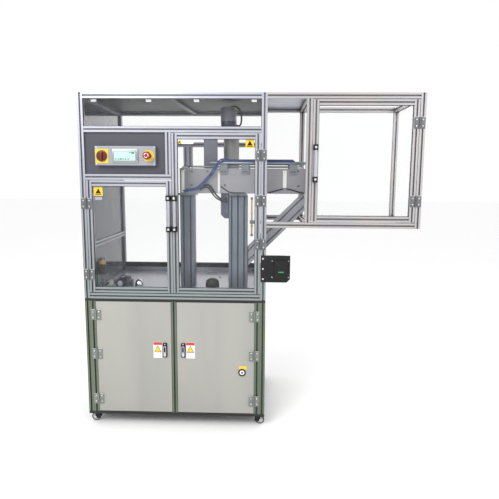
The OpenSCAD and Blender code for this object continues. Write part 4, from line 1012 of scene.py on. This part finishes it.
def make_frame_details():
    labels = Piece("door_labels", "left_door", [YELLOW, BLACK, GREY_PRINT], "legend_yellow")
    label_mark(labels, 70, 117, 1298, 1345)
    labels.plate(rounded(74, 113, 1277, 1291, 1.5), 12.4, 12.9, 2)
    labels.done()
    right = Piece("door_labels_right", "right_door", [YELLOW, BLACK, WHITE, GREY_PRINT], "legend_yellow")
    label_mark(right, 886, 931, 1554, 1600)
    right.plate(rounded(528, 545, 1574, 1592, 8), 12.4, 12.9, 0)
    right.lathe((536.5, 12.4, 1583), (0, -1, 0), [(0, 0), (4.5, 0), (4.5, 0.2), (0, 0.2)], 1, 20)
    right.plate(rounded(547, 610, 1574, 1592, 2), 12.4, 12.9, 2)
    right.plate([(552, 1581.5), (604, 1581.5), (604, 1584.5), (552, 1584.5)], 12.2, 12.5, 3)
    right.done()
    add_gaskets("gasket_left_door", "left_door", 62, 463, 799, 1351)
    add_gaskets("gasket_right_door", "right_door", 525, 938, 799, 1600)
    add_gaskets("gasket_bay_door", "bay_door", 1267.2, 1752.8, 1199.2, 1773)
    add_gaskets("gasket_top_window", "root", 30.3, 969.7, 1663.2, 1806)

    clips = Piece("pane_clips", "root", [WHITE, SCREW_AND_HIGHLIGHT], "frame_aluminium")
    for x in (83, 375, 628, 930):
        clips.box((x - 14, 17.2, 1791), (x + 14, 30, 1805.6), 0, edge=2)
        clips.screw(x, 17.2, 1798, 1, radius=3, height=1.2)
    clips.done()

    strip = Piece("ceiling_profile", "root", [CEILING_BAR, BLACK], "ceiling_metal")
    start, end = (485, 60), (525, 690)
    heading = math.degrees(math.atan2(start[0] - end[0], end[1] - start[1]))
    cx, cy = (start[0] + end[0]) / 2, (start[1] + end[1]) / 2
    half = math.hypot(end[0] - start[0], end[1] - start[1]) / 2
    strip.box((cx - 15, cy - half, 1812), (cx + 15, cy + half, 1827.6), 0, edge=1.5, turn=(heading, "Z"))
    for dx in (-8, 8):
        strip.box((cx + dx - 2.2, cy - half + 1, 1811.6), (cx + dx + 2.2, cy + half - 1, 1813), 1,
                  turn=(heading, "Z"))
    strip.done()

    caps = Piece("profile_joints", "root", [BLACK], "handle_plastic")
    slot = 7.6
    for x, y in ((15, 15), (985, 15), (15, 725), (985, 725), (1800, 15), (1800, 545)):
        caps.box((x - slot / 2, y - 15, TOP - 6), (x + slot / 2, y - 11, TOP - 0.2), 0, edge=0.5)
    caps.done()


def label_mark(piece, x0, x1, z0, z1):
    """Plain yellow label with a bare dark triangle and base line."""
    middle = (x0 + x1) / 2
    piece.plate(rounded(x0, x1, z0, z1, 2), 12.4, 12.9, 0)
    piece.plate([(middle - 15, z0 + 13), (middle + 15, z0 + 13), (middle, z1 - 7)], 12.1, 12.45, 1)
    piece.plate([(middle - 17, z0 + 6), (middle + 17, z0 + 6), (middle + 17, z0 + 10),
                 (middle - 17, z0 + 10)], 12.1, 12.45, 1)


make_camera()
make_studio()
dress_nodes()
dress_panes_and_ceiling()
make_hinges()
make_doors()
make_cabinet()
make_operator_panel()
make_conveyor_details()
make_robot()
make_deck_pieces()
make_display()
make_castors()
make_frame_details()
